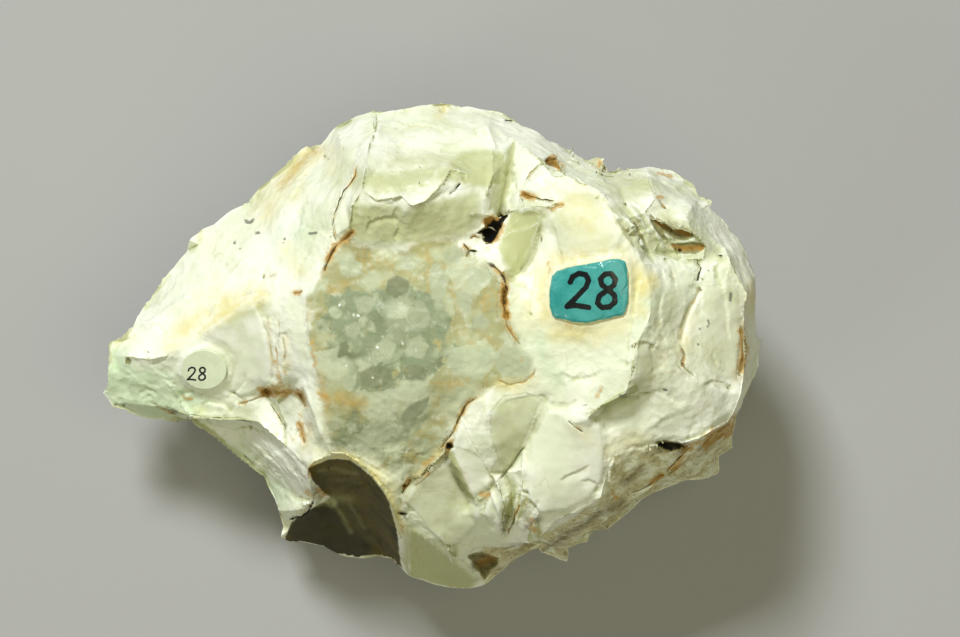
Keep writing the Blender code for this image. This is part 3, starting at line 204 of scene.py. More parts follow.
# Ledges: drop, reach of the lowered ground, and the way, which has the lower ground on its right
LEDGES = {
    "saddle_plate": (0.4, 1.2, [(-37.8, -13.5), (-37.1, -15.5), (-35.8, -18.1), (-35.3, -19.2)]),
    "saddle_plate2": (0.35, 1.0, [(-32.5, -14.1), (-32, -16.6), (-32.7, -19.2), (-34.2, -20.3)]),
    "patch_left": (0.3, 1.6, [(10.5, 9.2), (9.8, 5.9), (9.1, 2.3), (8.7, -0.6)]),
    "mid_step": (0.3, 1.5, [(14.5, -9.7), (17.1, -10.8), (20, -10.5), (22.5, -9)]),
    "mid_flake": (0.3, 1.4, [(10.9, -13.4), (13.1, -15.2), (16, -15.5), (18.2, -14.5)]),
    "flank_flake": (0.25, 1.4, [(33.5, 5.2), (32.7, 1.5), (33.1, -2.1), (34.2, -5.4)]),
    "flank_flake2": (0.25, 1.2, [(42.2, -6.1), (43.3, -8.6), (45.1, -10.1)]),
    "nose_flake": (0.3, 1.2, [(-45.8, 3.4), (-42.5, 4.8), (-39.6, 5.2), (-37.1, 4.1)]),
    "top_flake": (0.25, 1.6, [(-14.5, 34.6), (-11.6, 35.4), (-8, 35), (-5.1, 33.5)]),
    "top_flake2": (0.25, 1.4, [(-3.3, 36.1), (-1.1, 35), (0, 32.8)]),
    "shelf_top": (0.12, 1.6, [(-20.4, 32.3), (-17.5, 31.9), (-14.9, 31.5), (-12.2, 31.7), (-10.2, 31.2),
        (-7.8, 30.1), (-4, 29.5)]),
    "shelf_mid": (0.2, 2.6, [(-19.8, 26.5), (-16.7, 26.8), (-13.8, 27), (-11.1, 27.5), (-8.4, 28.3)]),
    "shelf_low": (0.3, 3.0, [(-20.4, 23.2), (-17.5, 23.4), (-14.5, 23.7), (-11.8, 24.1), (-9.5, 24.8),
        (-7.8, 26.1), (-6, 27.7)]),
    "jag_a": (0.28, 1.6, [(-18.2, 21.2), (-16, 21), (-15.3, 21.9), (-14.2, 22.5), (-13.5, 21.5),
        (-12.5, 20.5), (-10.9, 20.8), (-8.9, 22.1), (-6.5, 23.2), (-3.8, 24.6)]),
    "jag_b": (0.2, 1.2, [(-20.2, 22.8), (-19.3, 21.9), (-18.2, 21.2)]),
    "mottle_a": (0.4, 1.6, [(-23.6, 15.7), (-23.6, 18.8), (-23.1, 21), (-21.6, 22.5)]),
    "mottle_b": (0.4, 1.4, [(-20.7, 15), (-20.4, 17.5), (-18.5, 18.3), (-16.2, 18.6), (-14.2, 17.7)]),
    "mottle_c": (0.35, 1.4, [(-16, 14.3), (-14.9, 16.5), (-16, 18.6), (-15.3, 20.5)]),
    "pocket": (0.4, 1.0, [(-5.1, 25), (-5.5, 26.6), (-4.2, 27), (-2.4, 26.3), (-2.9, 24.6)]),
    "groove_wall": (0.4, 1.2, [(6.2, 32.6), (6, 29.7), (5.6, 26.6), (4.9, 24.1), (4.2, 22.1),
        (4, 19.7)]),
    "steps_a": (0.25, 1.0, [(6, 25.9), (4.5, 26.1), (3.1, 26.6)]),
    "steps_b": (0.25, 0.9, [(4.2, 24.1), (2.5, 24.6), (1.6, 23.4)]),
    "scoop_edge": (0.2, 2.2, [(11.3, 18.1), (9.1, 16.8), (6.7, 16.3), (5.1, 15.7), (3.8, 14.6)]),
    "scoop_side": (0.45, 2.5, [(8, 9.2), (9.3, 12.1), (10.2, 15), (11.1, 17.9)]),
    "tent_step": (0.3, 1.4, [(7.6, 25), (9.1, 27), (10.9, 28.5), (13.1, 29.5)]),
    "tent_low": (0.3, 1.2, [(13.8, 21), (11.5, 21.5), (9.3, 22.1), (7.5, 22.8)]),
    "ridge_face": (0.4, 2.5, [(17.1, 25.9), (19.1, 24.6), (21.1, 23.4), (23.1, 21.5), (24.2, 20.1)]),
    "head_step": (0.25, 1.5, [(21.8, 25.9), (24.7, 26.6), (27.6, 26.6), (30.5, 26.3), (31.3, 24.3),
        (31.8, 22.1)]),
    "fan_rim": (0.5, 1.6, [(30.5, 19), (32.7, 17.5), (34.9, 16.5), (37.8, 16.1), (39.6, 15.2),
        (40.9, 13.2)]),
    "head_mid": (0.35, 1.4, [(33.5, 13.7), (34.9, 14.3), (36.9, 14.5), (38.9, 14.6)]),
    "head_low": (0.4, 1.2, [(40.7, 11.4), (38.2, 10.8), (36.4, 10.8), (34.2, 11.4), (31.8, 12.1)]),
    "tan_streak_a": (0.25, 0.9, [(34.9, 9.2), (35.6, 7.2), (35.6, 5)]),
    "tan_streak_b": (0.2, 0.9, [(33.1, 9.4), (33.5, 7.5), (34.2, 6.5)]),
    "bright_strip": (0.4, 2.0, [(29.3, 10.3), (29.1, 7), (28.5, 3.4), (28, -0.3), (27.3, -3.9),
        (26.9, -7.9), (26.2, -11.2)]),
    "wedge_top": (0.3, 2.0, [(28, -4.3), (30.2, -4.3), (32.2, -4.8)]),
    "wedge_low": (0.35, 1.6, [(19.6, -17.4), (22.5, -15.7), (25.5, -14.3), (29.1, -13.5), (32, -13.2)]),
    "flank_low": (0.3, 1.8, [(37.1, -16.3), (34.2, -14.5), (32, -13.4)]),
    "tri_left": (0.15, 1.6, [(3.6, -15.2), (7.3, -14.3), (11.8, -13.9)]),
    "face_groove": (0.35, 1.6, [(14.2, -29.4), (16.7, -28.1), (20, -26.6)]),
    "face_dent": (0.3, 1.6, [(18.2, -29.7), (19.6, -29.2), (21.5, -30.1), (21.8, -31.9)]),
    "face_edge": (0.15, 2.0, [(7.6, -23.2), (7.5, -26.6), (7.3, -31.2)]),
    "slab_a": (0.15, 1.8, [(-5.1, -23.2), (-3.1, -23.7), (-1.1, -24.5), (0.4, -25.7), (1.5, -27.5),
        (2.7, -29.9)]),
    "slab_b": (0.4, 1.4, [(2.9, -30.1), (1.8, -31.5), (0, -32.6), (-1.3, -33)]),
    "toe_fan_a": (0.35, 1.0, [(6.9, -31.7), (5.8, -34.1), (5.1, -36.6)]),
    "toe_fan_b": (0.3, 1.0, [(9.1, -32.1), (8, -34.5), (6.9, -37)]),
    "toe_fan_c": (0.3, 1.0, [(11.1, -33), (9.6, -35.4), (8.5, -37.7)]),
    "lip_a": (0.35, 0.8, [(-27.8, -25.2), (-25.5, -24.8), (-23.3, -25.4), (-21.5, -26.5),
        (-19.6, -27.9), (-17.8, -30.1), (-16.4, -32.5), (-15.3, -34.8)]),
    "lip_b": (0.3, 0.8, [(-25.1, -25), (-22.5, -25.2), (-20, -26.5), (-17.5, -27.9), (-15.3, -29.7)]),
    "lip_c": (0.25, 0.7, [(-20.7, -26.8), (-18.5, -29), (-16.5, -31.4), (-14.9, -33.9)]),
    "hollow_edge": (0.3, 0.8, [(-16, -36.6), (-15.1, -39), (-14.7, -41.7), (-15.1, -43.9)]),
    "prong_step_a": (0.3, 1.4, [(-63.5, -3.4), (-64.7, -4.1), (-66.7, -4.6)]),
    "prong_ledge": (0.3, 1.2, [(-56, -6.1), (-57.1, -7.7), (-58.5, -8.3), (-60.4, -9)]),
    "prong_nose": (0.3, 1.3, [(-63.5, -7.9), (-63.3, -10.1), (-64, -11.9), (-63.5, -14.1)]),
    "prong_diag": (0.35, 1.2, [(-51.6, -19.2), (-53.1, -16.6), (-54.5, -14.5), (-56.4, -11.9),
        (-58.2, -10.6)]),
    "prong_swirl": (0.3, 0.9, [(-62.5, -15), (-62.2, -13.5), (-60.7, -12.8), (-59.3, -13),
        (-58.5, -14.1)]),
    "prong_swirl2": (0.25, 0.7, [(-61.6, -15), (-61.1, -14.1), (-60, -13.9), (-59.5, -14.6)]),
    "dent_a": (0.45, 1.3, [(-51.6, -13.5), (-53.1, -13.7), (-54.2, -14.5), (-53.5, -15.5)]),
    "dent_b": (0.5, 1.6, [(-44.9, -17.4), (-46.9, -15.9), (-49.5, -15.4), (-50.7, -15.5)]),
    "recess_low": (0.3, 1.4, [(-42.4, -9.7), (-42.7, -11.9), (-44, -13.4), (-45.8, -14.3)]),
    "facet_mid": (0.35, 1.4, [(-33.5, -12.6), (-34.5, -13.9), (-35.8, -15.2), (-37.1, -15.5)]),
    "bump": (0.4, 0.9, [(-34.2, -21.5), (-33.6, -20.3), (-32.5, -19.9)]),
    "corner_tan": (0.35, 1.0, [(-36.5, -35.2), (-34.2, -35), (-32.2, -34.1), (-31.1, -33.5)]),
    "corner_face": (0.35, 1.0, [(-30.5, -34.3), (-28.7, -34.3), (-26.5, -34.6)]),
    "small_slab": (0.3, 1.0, [(-26.7, -34.5), (-27.5, -33), (-29.5, -32.8), (-30.5, -33.7)]),
    "hollow_rib_a": (0.4, 2.2, [(-23.3, -38.8), (-25.1, -36.6), (-26.5, -34.6)]),
    "hollow_rib_b": (0.3, 2.0, [(-21.1, -38.5), (-22.5, -35.9), (-23.3, -33.4), (-23.6, -30.8)]),
    "hollow_step": (0.4, 2.4, [(-19.6, -30.1), (-22.5, -30.8), (-24.4, -31.9), (-26.5, -32.8)]),
    "grey_face": (0.3, 1.4, [(-27.3, 15), (-29.1, 15.9), (-30.9, 15.9), (-33.1, 17.2)]),
    "grey_face2": (0.25, 1.5, [(-33.5, 17.5), (-33.8, 19.4), (-32.7, 20.8), (-30.5, 21.5)]),
    "grey_face3": (0.25, 1.8, [(-33.8, 5.5), (-33.3, 8.8), (-32, 11.4), (-30.5, 12.8)]),
    "right_face": (0.3, 2.0, [(42.9, 10.3), (44, 7), (44.7, 3.4), (45.1, -0.3), (45.5, -4.8)]),
    "right_low": (0.3, 1.6, [(40.4, -11.9), (42.2, -11.2), (44.4, -11.5), (46.5, -12.6)]),
    "cortex_lip": (0.4, 1.0, [(45.8, -18.1), (42.9, -19.9), (40, -21.5), (37.1, -22.6), (34.2, -22.3),
        (30.9, -23.2), (28, -23.7), (25.1, -24.3)]),
    "cortex_left": (0.4, 1.4, [(24.9, -24.5), (23.8, -26.8), (23.5, -29.4), (23.8, -31.5)]),
    "quartz": (0.4, 1.2, [(40, -24.8), (38.2, -26.6), (36, -27.9), (34.2, -29)]),
}

# Ribs: height, half width and the way along the crest
RIBS = {
    "fan_a": (0.45, 0.45, [(23.8, 19.4), (25.5, 17.9), (27.3, 15.7), (28.7, 13.9), (30.2, 12.8)]),
    "fan_b": (0.4, 0.4, [(25.1, 19.2), (26.9, 16.6), (28.7, 14.1), (30.5, 12.1)]),
    "fan_c": (0.35, 0.35, [(26.2, 17.5), (27.6, 15), (29.1, 12.5), (30.9, 10.6)]),
    "blade_white": (0.5, 0.6, [(29.8, 18.6), (31.3, 16.6), (32.5, 14.5), (33.5, 12.1)]),
    "knob_line": (0.3, 0.6, [(1.1, 35), (2, 32.8), (2.9, 30.5)]),
    "pale_diag": (0.35, 0.6, [(-57.5, -11.2), (-55.6, -12.6), (-54.4, -15.2), (-52.9, -17.4),
        (-51.5, -19)]),
    "flank_rib_a": (0.28, 0.6, [(-48.4, -20.3), (-45.1, -22.5), (-41.8, -25), (-39.3, -28.3)]),
    "flank_rib_b": (0.28, 0.6, [(-44, -20.3), (-40.7, -23.2), (-37.8, -26.1), (-36, -29.4)]),
    "flank_rib_c": (0.22, 0.5, [(-41.5, -20.5), (-38.2, -23.2), (-35.3, -26.1), (-33.3, -29)]),
    "flank_rib_d": (0.2, 0.4, [(-36, -23.4), (-33.8, -25.4), (-32.4, -27.5), (-31.5, -29.7)]),
    "edge_white": (0.35, 0.5, [(-14.2, -31.9), (-13.8, -33.4), (-13.1, -34.5)]),
    "blade_crest": (0.35, 0.5, [(1.3, -29.9), (2.2, -31.9), (3.3, -34.5), (4, -36.6)]),
    "slab_crest": (0.12, 0.5, [(-6, -24.3), (-4.5, -26.8), (-3.1, -29.7), (-1.5, -32.8)]),
    "hollow_crest": (0.25, 0.5, [(-29.5, -27.5), (-27.3, -27.7), (-24.7, -29), (-22.2, -29.2),
        (-19.6, -28.3)]),
}

# Fans of fine ribs: how many, how high, and the two edges that they run between
STRIATIONS = {
    "fan_right": (10, 0.3, [(26.9, 22.3), (24.4, 19.7)], [(34.2, 15), (29.1, 10.3)]),
    "bottom_face": (10, 0.1, [(-13.1, -35.2), (-5.5, -41.2)], [(-12.7, -46.1), (-2.2, -48.3)]),
    "window_low": (11, 0.14, [(-19.1, -20.3), (-10.9, -22.1)], [(-17.5, -27.5), (-12.7, -28.8)]),
    "scar_ribs": (7, 0.18, [(-49.8, -20.5), (-40.7, -19.9)], [(-39.6, -29), (-32, -29.4)]),
}

# Stains and marks: strength, reach and way. The shade marks are painted shade, the glimmers painted light,
# and some brown marks painted shadow
STAINS = {
    # Painted light: glints on the ribs inside the hollow's painted shade
    "glimmer": [
        (0.9, 1.5, [(-29.6, -33.2), (-28.2, -32.8), (-26.7, -33.5)]),
        (0.45, 1.1, [(-26.2, -34.1), (-24.9, -36.3), (-23.5, -38.8)]),
        (0.35, 1.1, [(-23.8, -33.4), (-22.4, -35.7), (-21.1, -38.1)]),
        (0.4, 2.4, [(-26.7, -32.6), (-25.1, -32.6), (-23.6, -33)]),
        (0.35, 1.3, [(-29.1, -27.7), (-26.5, -27.2), (-24.4, -27.9), (-22.2, -28.3)]),
        (0.25, 1.2, [(-27.3, -29.5), (-24.5, -29.2), (-21.8, -29.9)]),
    ],
    "rust": [
        (1.0, 1.0, [(12.2, 28.5), (13.3, 29.2), (14.5, 27.7)]),
        (0.9, 0.9, [(7.6, 22.8), (8.9, 22.1)]),
        (0.7, 0.9, [(32.4, 17.5), (34.9, 16.5), (37.8, 15.4)]),
        (0.7, 0.8, [(34.9, 13.2), (37.5, 12.8), (40.4, 13)]),
        (0.9, 1.8, [(46.9, -18.5), (45.1, -20.3), (42.9, -21.7), (40.7, -22.8)]),
        (0.8, 1.4, [(38.5, -23.5), (36.7, -25.4), (35.3, -27.2)]),
        (0.9, 1.3, [(20, 29), (21.6, 28.5), (22.9, 27.4)]),
        (0.55, 1.1, [(-37.1, -7.9), (-36.5, -10.1), (-35.8, -12.3)]),
        (0.5, 0.9, [(-35.5, -9.7), (-34.9, -11.9), (-34.2, -13.4)]),
        (0.6, 1.2, [(-38.5, -13.4), (-36.4, -13), (-33.5, -13.5), (-32, -14.6)]),
        (0.45, 0.8, [(-33.5, -16.3), (-32.5, -18.1), (-32, -20.3)]),
        (0.4, 1.0, [(-30.5, 3.4), (-31.1, 0.1), (-30.5, -3.9), (-29.8, -8.6)]),
        (0.5, 0.8, [(-7.1, -26.1), (-8.9, -27.5), (-10.2, -29)]),
        (0.5, 1.0, [(21.8, -13.4), (20.4, -15.5)]),
        (0.45, 1.4, [(-29.5, -13.4), (-27.3, -14.8), (-24.7, -15.2)]),
        (0.4, 1.2, [(-28.7, -15.5), (-26.5, -16.3)]),
        (1.0, 1.2, [(-26.2, 13.4), (-24.5, 14.3), (-23.3, 15.5)]),
        (0.8, 1.0, [(-26.5, 12.5), (-27.6, 10.3)]),
        (0.9, 1.6, [(1.5, 17.5), (3.1, 17.9)]),
        (0.9, 0.9, [(4, 16.8), (3.1, 15), (2, 13.5)]),
        (1.0, 1.4, [(13.1, 28.6), (14.5, 27.5)]),
        (0.8, 1.0, [(8, 22.5), (9.5, 22.1)]),
        (0.6, 0.8, [(13.1, 20.1), (14.9, 20.8)]),
        (0.7, 1.0, [(-2.5, 13), (-1.3, 12.3)]),
        (1.0, 1.2, [(4.4, 6.3), (4.5, 3.4), (4.7, 0.5)]),
        (0.7, 1.0, [(2.4, 9.5), (4.2, 7.5)]),
        (1.0, 1.6, [(-39.3, -13.2), (-37.5, -13.4), (-34.5, -13.4), (-32.7, -13.9)]),
        (0.8, 1.2, [(-32.7, -19.2), (-32, -22.1)]),
        (0.5, 1.6, [(-35.8, -21.4), (-34.5, -22.1)]),
        (0.8, 1.0, [(-30.7, -27.2), (-30.5, -28.3)]),
        (0.6, 1.2, [(-31.3, -31.5), (-30.5, -32.5)]),
        (0.9, 1.4, [(-29.5, -31.2), (-28, -31.5)]),
        (0.8, 1.2, [(-10, -26.6), (-8.5, -25.5)]),
        (0.7, 1.0, [(-6, -23.2), (-4.9, -22.1)]),
        (0.7, 1.1, [(-13.8, -30.8), (-12.9, -29.5)]),
        (0.6, 0.8, [(-14.2, -37.9), (-14, -39)]),
        (0.7, 0.9, [(0, -32.3), (1.5, -31.9)]),
        (0.8, 1.6, [(41.5, -21.4), (44, -19.9), (46.4, -18.8)]),
        (0.7, 1.4, [(38.2, -23.5), (36.4, -25.4), (34.5, -27.2)]),
        (0.8, 1.4, [(47.6, -2.5), (48, -5.7), (47.3, -9.4)]),
        (0.6, 1.0, [(24, -31.2), (24.7, -32.5)]),
        (0.6, 1.6, [(20.7, 28.8), (22.5, 27.7)]),
        (0.7, 1.0, [(32.4, 26.6), (34.5, 25.9)]),
        (0.8, 0.8, [(32.4, 22.1), (33.3, 22.1)]),
        (0.6, 1.0, [(39.6, 13), (40.4, 12.6)]),
        (0.5, 0.7, [(-29.8, 30.3), (-29.8, 30.1)]),
        (0.4, 0.7, [(-31.8, 26.1), (-31.8, 25.9)]),
        (0.6, 0.8, [(-35.6, -6.8), (-35.8, -7.9)]),
        (0.5, 1.8, [(0, -44.3), (2.2, -43.5)]),
        (0.5, 1.6, [(8.7, -36.6), (10.2, -38.5)]),
        (0.6, 0.8, [(5.5, -1.7), (6.5, -3.9)]),
        (0.5, 1.0, [(0.4, -3), (2.2, -4.3)]),
        (0.5, 1.0, [(-4.5, -12.3), (-2.5, -11.2)]),
        (0.5, 1.4, [(15.6, -1.4), (16.7, -1.5)]),
        (0.5, 1.2, [(12.5, 10.6), (13.1, 8.8)]),
        (0.5, 1.0, [(-43.6, -15.4), (-42.2, -15.2)]),
        (0.4, 0.8, [(-53.8, -14.3), (-52.7, -14.6)]),
        (0.6, 0.8, [(-33.5, 4.6), (-32.5, 4.8)]),
    ],
    "ochre": [
        (0.8, 2.4, [(-29.5, 31.2), (-31.6, 29.4), (-34, 26.6), (-36.2, 24.1)]),
        (0.5, 1.5, [(-31.6, -14.5), (-30.5, -17.7), (-31.3, -21)]),
        (0.8, 2.0, [(-27.3, 5.2), (-24.5, 6.3)]),
        (1.0, 2.8, [(-25.8, -14.5), (-23.6, -15.2), (-21.5, -15.5)]),
        (0.7, 2.2, [(-29.1, -10.3), (-28.7, -13.9)]),
        (0.6, 3.0, [(-3.6, -2.1), (-0.9, -4.8)]),
        (0.6, 2.2, [(-0.4, -2.5), (2.2, -4.3)]),
        (0.6, 2.0, [(-18.2, 10.3), (-16.4, 9.9)]),
        (0.6, 2.4, [(-6.4, -12.6), (-2.7, -11.2)]),
        (0.5, 2.0, [(-30, -2.1), (-30.2, -5.7)]),
        (0.5, 1.6, [(-30.9, 3.4), (-31.3, -0.3)]),
        (0.5, 1.8, [(-4.5, 3.7), (-3.6, -0.3)]),
        (0.5, 1.6, [(3.3, -4.8), (4.5, -7.5)]),
        (0.4, 2.4, [(-16.4, -15.7), (-12.7, -14.8)]),
        (0.5, 1.6, [(-14.5, 8.8), (-11.6, 7)]),
        (0.4, 2.0, [(-9.1, -2.1), (-7.3, -4.8)]),
        (0.6, 2.6, [(-27.3, -14.8), (-28.2, -18.5)]),
        (0.4, 1.6, [(-23.6, 10.3), (-21.5, 11.4)]),
        (0.4, 1.4, [(-0.4, 9.2), (0.7, 7)]),
        (0.6, 1.2, [(-38.7, 0.1), (-38, -4.8), (-37.8, -9.4)]),
        (0.5, 1.6, [(-39.6, 3.4), (-39.6, 1.5)]),
        (0.7, 1.2, [(-38.2, -12.6), (-36.7, -11.5)]),
        (0.5, 1.6, [(-32.7, -16.6), (-31.6, -20.3)]),
        (0.5, 1.4, [(-29.1, -23), (-28.4, -20.3)]),
        (0.4, 1.4, [(32.7, 18.8), (36.4, 17), (38.9, 16.1)]),
        (0.5, 1.0, [(39.6, 5.2), (38.2, 1.9), (36.7, -2.5)]),
        (0.5, 1.0, [(35.5, 9.2), (35.6, 5.2)]),
        (0.4, 1.0, [(33.5, 9.2), (34, 7.4)]),
        (0.4, 1.2, [(28.4, 17.5), (29.5, 15.4)]),
        (0.4, 2.0, [(30, -5.7), (30.5, -9.7), (30, -12.6)]),
        (0.35, 2.0, [(-12.7, -22.1), (-11.8, -26.1)]),
    ],
    "lemon": [
        (0.9, 2.2, [(-48.4, -0.3), (-45.1, 1.9), (-41.8, 3.5), (-39.6, 4.1)]),
        (0.7, 1.8, [(-51.3, -2.5), (-49.8, -1.4), (-48.4, -0.3)]),
        (0.9, 1.4, [(-30.5, -26.8), (-28, -25.4), (-24.5, -25), (-21.5, -26.3), (-18.9, -28.6),
            (-16.7, -31.5), (-15.3, -34.8), (-14.5, -38.5)]),
        (0.8, 1.6, [(-7.3, -24.3), (-9.1, -26.6), (-11.3, -28.6)]),
        (0.7, 2.0, [(3.6, -11.9), (6.4, -12.3), (9.1, -11.2)]),
        (0.8, 3.0, [(-56.7, -4.3), (-53.6, -2.1), (-50, 1.2), (-46.4, 3)]),
        (0.6, 3.0, [(-44.5, 3.4), (-40.7, 4.8)]),
        (0.5, 3.5, [(-50, 3.4), (-46.4, 3.4)]),
        (0.9, 3.2, [(-34.5, 27), (-32, 29.2), (-30.2, 30.6)]),
        (0.6, 3.5, [(-36, 24.3), (-38.2, 21.5), (-39.6, 18.8)]),
        (0.4, 2.6, [(-33.6, 21.5), (-32.7, 24.1)]),
        (0.5, 1.6, [(-66.2, -4.1), (-63.3, -3.4)]),
        (0.4, 1.6, [(-51.3, -16.6), (-50.4, -16.6)]),
        (0.4, 2.0, [(-27.3, 27), (-26.5, 30.6)]),
        (0.5, 5.0, [(17.8, 20.6), (21.8, 15.2), (24, 12.1)]),
        (0.6, 2.6, [(13.8, 11), (20, 11.7), (25.8, 12.1)]),
        (0.9, 2.4, [(28.4, 8.8), (29.5, 5.2), (30.9, 7)]),
        (0.7, 2.4, [(27.6, 3.4), (29.1, 1.2)]),
        (0.8, 2.2, [(11.1, 7.9), (11.5, 3.4), (12, 0.1)]),
        (0.7, 3.0, [(14.2, -2.8), (20, -3.2), (25.1, -2.1)]),
        (0.7, 2.2, [(49.5, 5.5), (49.8, 1.2)]),
        (0.4, 2.4, [(38.2, -0.3), (37.1, -4.8)]),
        (0.4, 2.4, [(-35.3, 12.5), (-32.7, 8.8)]),
        (0.5, 1.4, [(-35.5, -3.9), (-35.3, -8.6)]),
        (0.5, 1.6, [(-30.9, -20.3), (-31.3, -23.9), (-28.7, -24.3)]),
        (0.4, 2.0, [(-20, -26.6), (-16, -30.5)]),
        (0.4, 2.0, [(17.3, -19.9), (19.3, -21.4)]),
        (0.4, 3.0, [(29.1, -22.1), (23.6, -23.5)]),
        (0.35, 4.0, [(9.1, 3.4), (8.7, -0.3)]),
        (0.4, 2.0, [(-6.5, 38.3), (-7.3, 37.5)]),
        (0.3, 3.0, [(-10.9, 12.5), (-5.5, 14.3)]),
    ],
    # Painted shade on faces that turn from the light
    "shade": [
        (0.45, 6.0, [(20.4, 17.5), (22.2, 14.3)]),
        (0.35, 3.0, [(12.4, 22.3), (13.1, 20.1)]),
        (0.9, 2.6, [(-45.1, -0.3), (-42.5, 1.4), (-39.6, 2.6)]),
        (0.5, 1.6, [(-32.7, -24.3), (-32, -26.1)]),
        (0.9, 4.0, [(-22.5, 24.8), (-14.5, 24.8), (-7.3, 26.6)]),
        (0.6, 4.0, [(-3.6, 26.1), (-0.4, 22.5)]),
        (0.35, 6.0, [(-17.3, 34.3), (-9.1, 34.6), (-0.9, 34.3)]),
        (0.7, 5.0, [(-15.5, 28.8), (-9.1, 29.2), (-2.7, 28.8)]),
        (0.1, 6.0, [(-7.3, 37.5), (0, 37.2)]),
        (0.6, 4.0, [(-24.5, 30.6), (-25.5, 25.2)]),
        (0.7, 3.0, [(9.1, 21.5), (11.8, 19.4)]),
        (0.6, 5.0, [(25.5, 25.5), (30.9, 24.3), (36.4, 23.4)]),
        (0.5, 3.0, [(34.9, 3.4), (34.2, -2.1)]),
        (1.0, 5.0, [(33.6, 16.5), (39.1, 13.4)]),
        (0.7, 4.0, [(-14.5, 28.8), (-12.7, 28.8)]),
        (0.6, 5.0, [(21.8, 24.3), (28.2, 23.7)]),
        (0.5, 3.0, [(38.2, 23.4), (37.5, 19.4)]),
        (0.5, 5.0, [(17.3, 27.9), (20, 27)]),
        (0.5, 5.0, [(-30.5, 18.8), (-31.8, 12.5)]),
        (0.5, 4.0, [(-47.3, -16.6), (-41.8, -17)]),
    ],
    "mint": [
        (1.0, 7.0, [(-66.9, -9.7), (-64, -13.9), (-58.2, -15.7)]),
        (0.7, 6.0, [(-60, -11.2), (-54.5, -13.9), (-51.8, -15.7)]),
        (0.5, 5.0, [(-48.2, -23), (-41.8, -26.6), (-35.5, -33)]),
        (0.5, 5.0, [(-32.7, 15.7), (-30.9, 18.8)]),
        (0.5, 5.0, [(10.9, -5.7), (14.5, -11.2)]),
        (0.4, 6.0, [(-1.8, -3.9), (0, -7.5)]),
        (0.5, 4.0, [(29.1, 3.4), (28.4, -2.1)]),
    ],
    "fleck": [
        (1.0, 0.5, [(-42.5, 17.7), (-41.8, 17.5), (-41.3, 17.9)]),
        (0.9, 0.4, [(-41.1, 15.4), (-40.2, 15.7)]),
        (0.8, 0.4, [(-44.5, 14.3), (-44.7, 13.5)]),
        (0.7, 0.4, [(-43.8, 12.6), (-43.3, 13)]),
        (0.9, 0.3, [(-35.3, 14.8), (-35.8, 13.7)]),
        (1.0, 0.5, [(-30.9, 15.5), (-29.8, 15.5)]),
        (0.7, 0.4, [(41.3, 8.8), (41.6, 8.6)]),
        (0.9, 0.55, [(45.6, 4.5), (45.5, 3.4)]),
        (0.9, 0.4, [(41.6, -0.1), (41.5, -1.4)]),
        (0.8, 0.35, [(40, -1.4), (39.8, -2.3)]),
        (0.7, 0.35, [(39.8, -3.5), (39.6, -5.4)]),
        (0.7, 0.5, [(18.7, -15.7), (19.3, -15.7)]),
        (0.6, 0.5, [(16, -11.2), (16.5, -11.2)]),
        (1.0, 0.6, [(25.5, -14.1), (26.5, -14.1)]),
        (0.9, 0.5, [(33.5, -13), (34, -13)]),
        (0.5, 0.4, [(-11.3, 27.9), (-10.7, 27.4)]),
        (0.5, 0.4, [(14.5, 25), (14.7, 24.5)]),
        (0.4, 0.5, [(-39.3, 15.7), (-38.5, 15.5)]),
        (0.5, 0.3, [(-28, -0.6), (-27.1, -2.1)]),
        (0.4, 0.35, [(-38.2, 9.2), (-38.2, 8.5)]),
        (0.5, 0.35, [(14.5, 12.5), (14.9, 11.4)]),
        (0.4, 0.4, [(43.6, -3.9), (44, -5)]),
        (0.5, 0.3, [(5.8, -2.1), (5.5, -2.6)]),
        (0.5, 0.4, [(3.6, -6.1), (4.4, -6.8)]),
        (0.6, 0.4, [(-60.4, -6.1), (-60.2, -6.3)]),
        (0.35, 0.4, [(19.6, 3.4), (19.8, 3.2)]),
    ],
    # Brown earth, and painted shadow along some edges and in small hollows
    "brown": [
        (0.4, 0.9, [(-35.3, -18.5), (-34.4, -20.1)]),
        (0.45, 1.0, [(-33.5, -27.5), (-32.4, -28.6), (-31.1, -29.4)]),
        (0.6, 2.0, [(11.8, -42.1), (17.3, -38.5), (21.8, -35.4), (26.4, -33.4)]),
        (0.5, 1.2, [(4.5, -41.7), (7.3, -41.2), (10.9, -40.6)]),
        (0.9, 2.2, [(32.7, -23.2), (37.1, -23.4)]),
        (0.9, 2.0, [(-0.7, -45), (2.2, -44.3)]),
        (0.7, 2.0, [(8.7, -37.7), (10.4, -36.6)]),
        (0.6, 1.0, [(-6.2, -25.4), (-4.7, -28.3), (-3.1, -31.2)]),
        (0.6, 2.6, [(29.1, -27.5), (26.4, -29.7)]),
        (0.6, 2.0, [(40, -23.5), (42.2, -22.5), (44, -21)]),
        (0.5, 2.0, [(14.5, -39.5), (20, -36.6)]),
        (0.6, 1.6, [(-30.5, -31.2), (-28, -31.5)]),
        (0.5, 1.6, [(-36.4, -19.5), (-35.3, -18.5), (-35.6, -21.4)]),
        (0.4, 1.2, [(-35.5, -16.3), (-34.2, -17.4)]),
        (0.5, 1.8, [(34.2, 17.5), (38.5, 15.7)]),
        (0.35, 1.6, [(29.1, 17.5), (29.5, 15.4)]),
        (0.6, 1.6, [(4.7, -35.7), (4.2, -38.5)]),
        (0.5, 1.4, [(-13.8, -35.5), (-13.1, -36.6)]),
        (0.5, 1.6, [(-39.6, -13.4), (-40.4, -14.5)]),
        (0.4, 2.0, [(-48.2, -16.3), (-45.8, -17.4)]),
        (0.4, 1.4, [(-53.1, -14.5), (-52.4, -14.8)]),
        (0.6, 1.4, [(13.8, 28.1), (12.5, 28.8)]),
        (0.4, 1.6, [(3.6, 5.2), (4.4, 2.3)]),
    ],
}
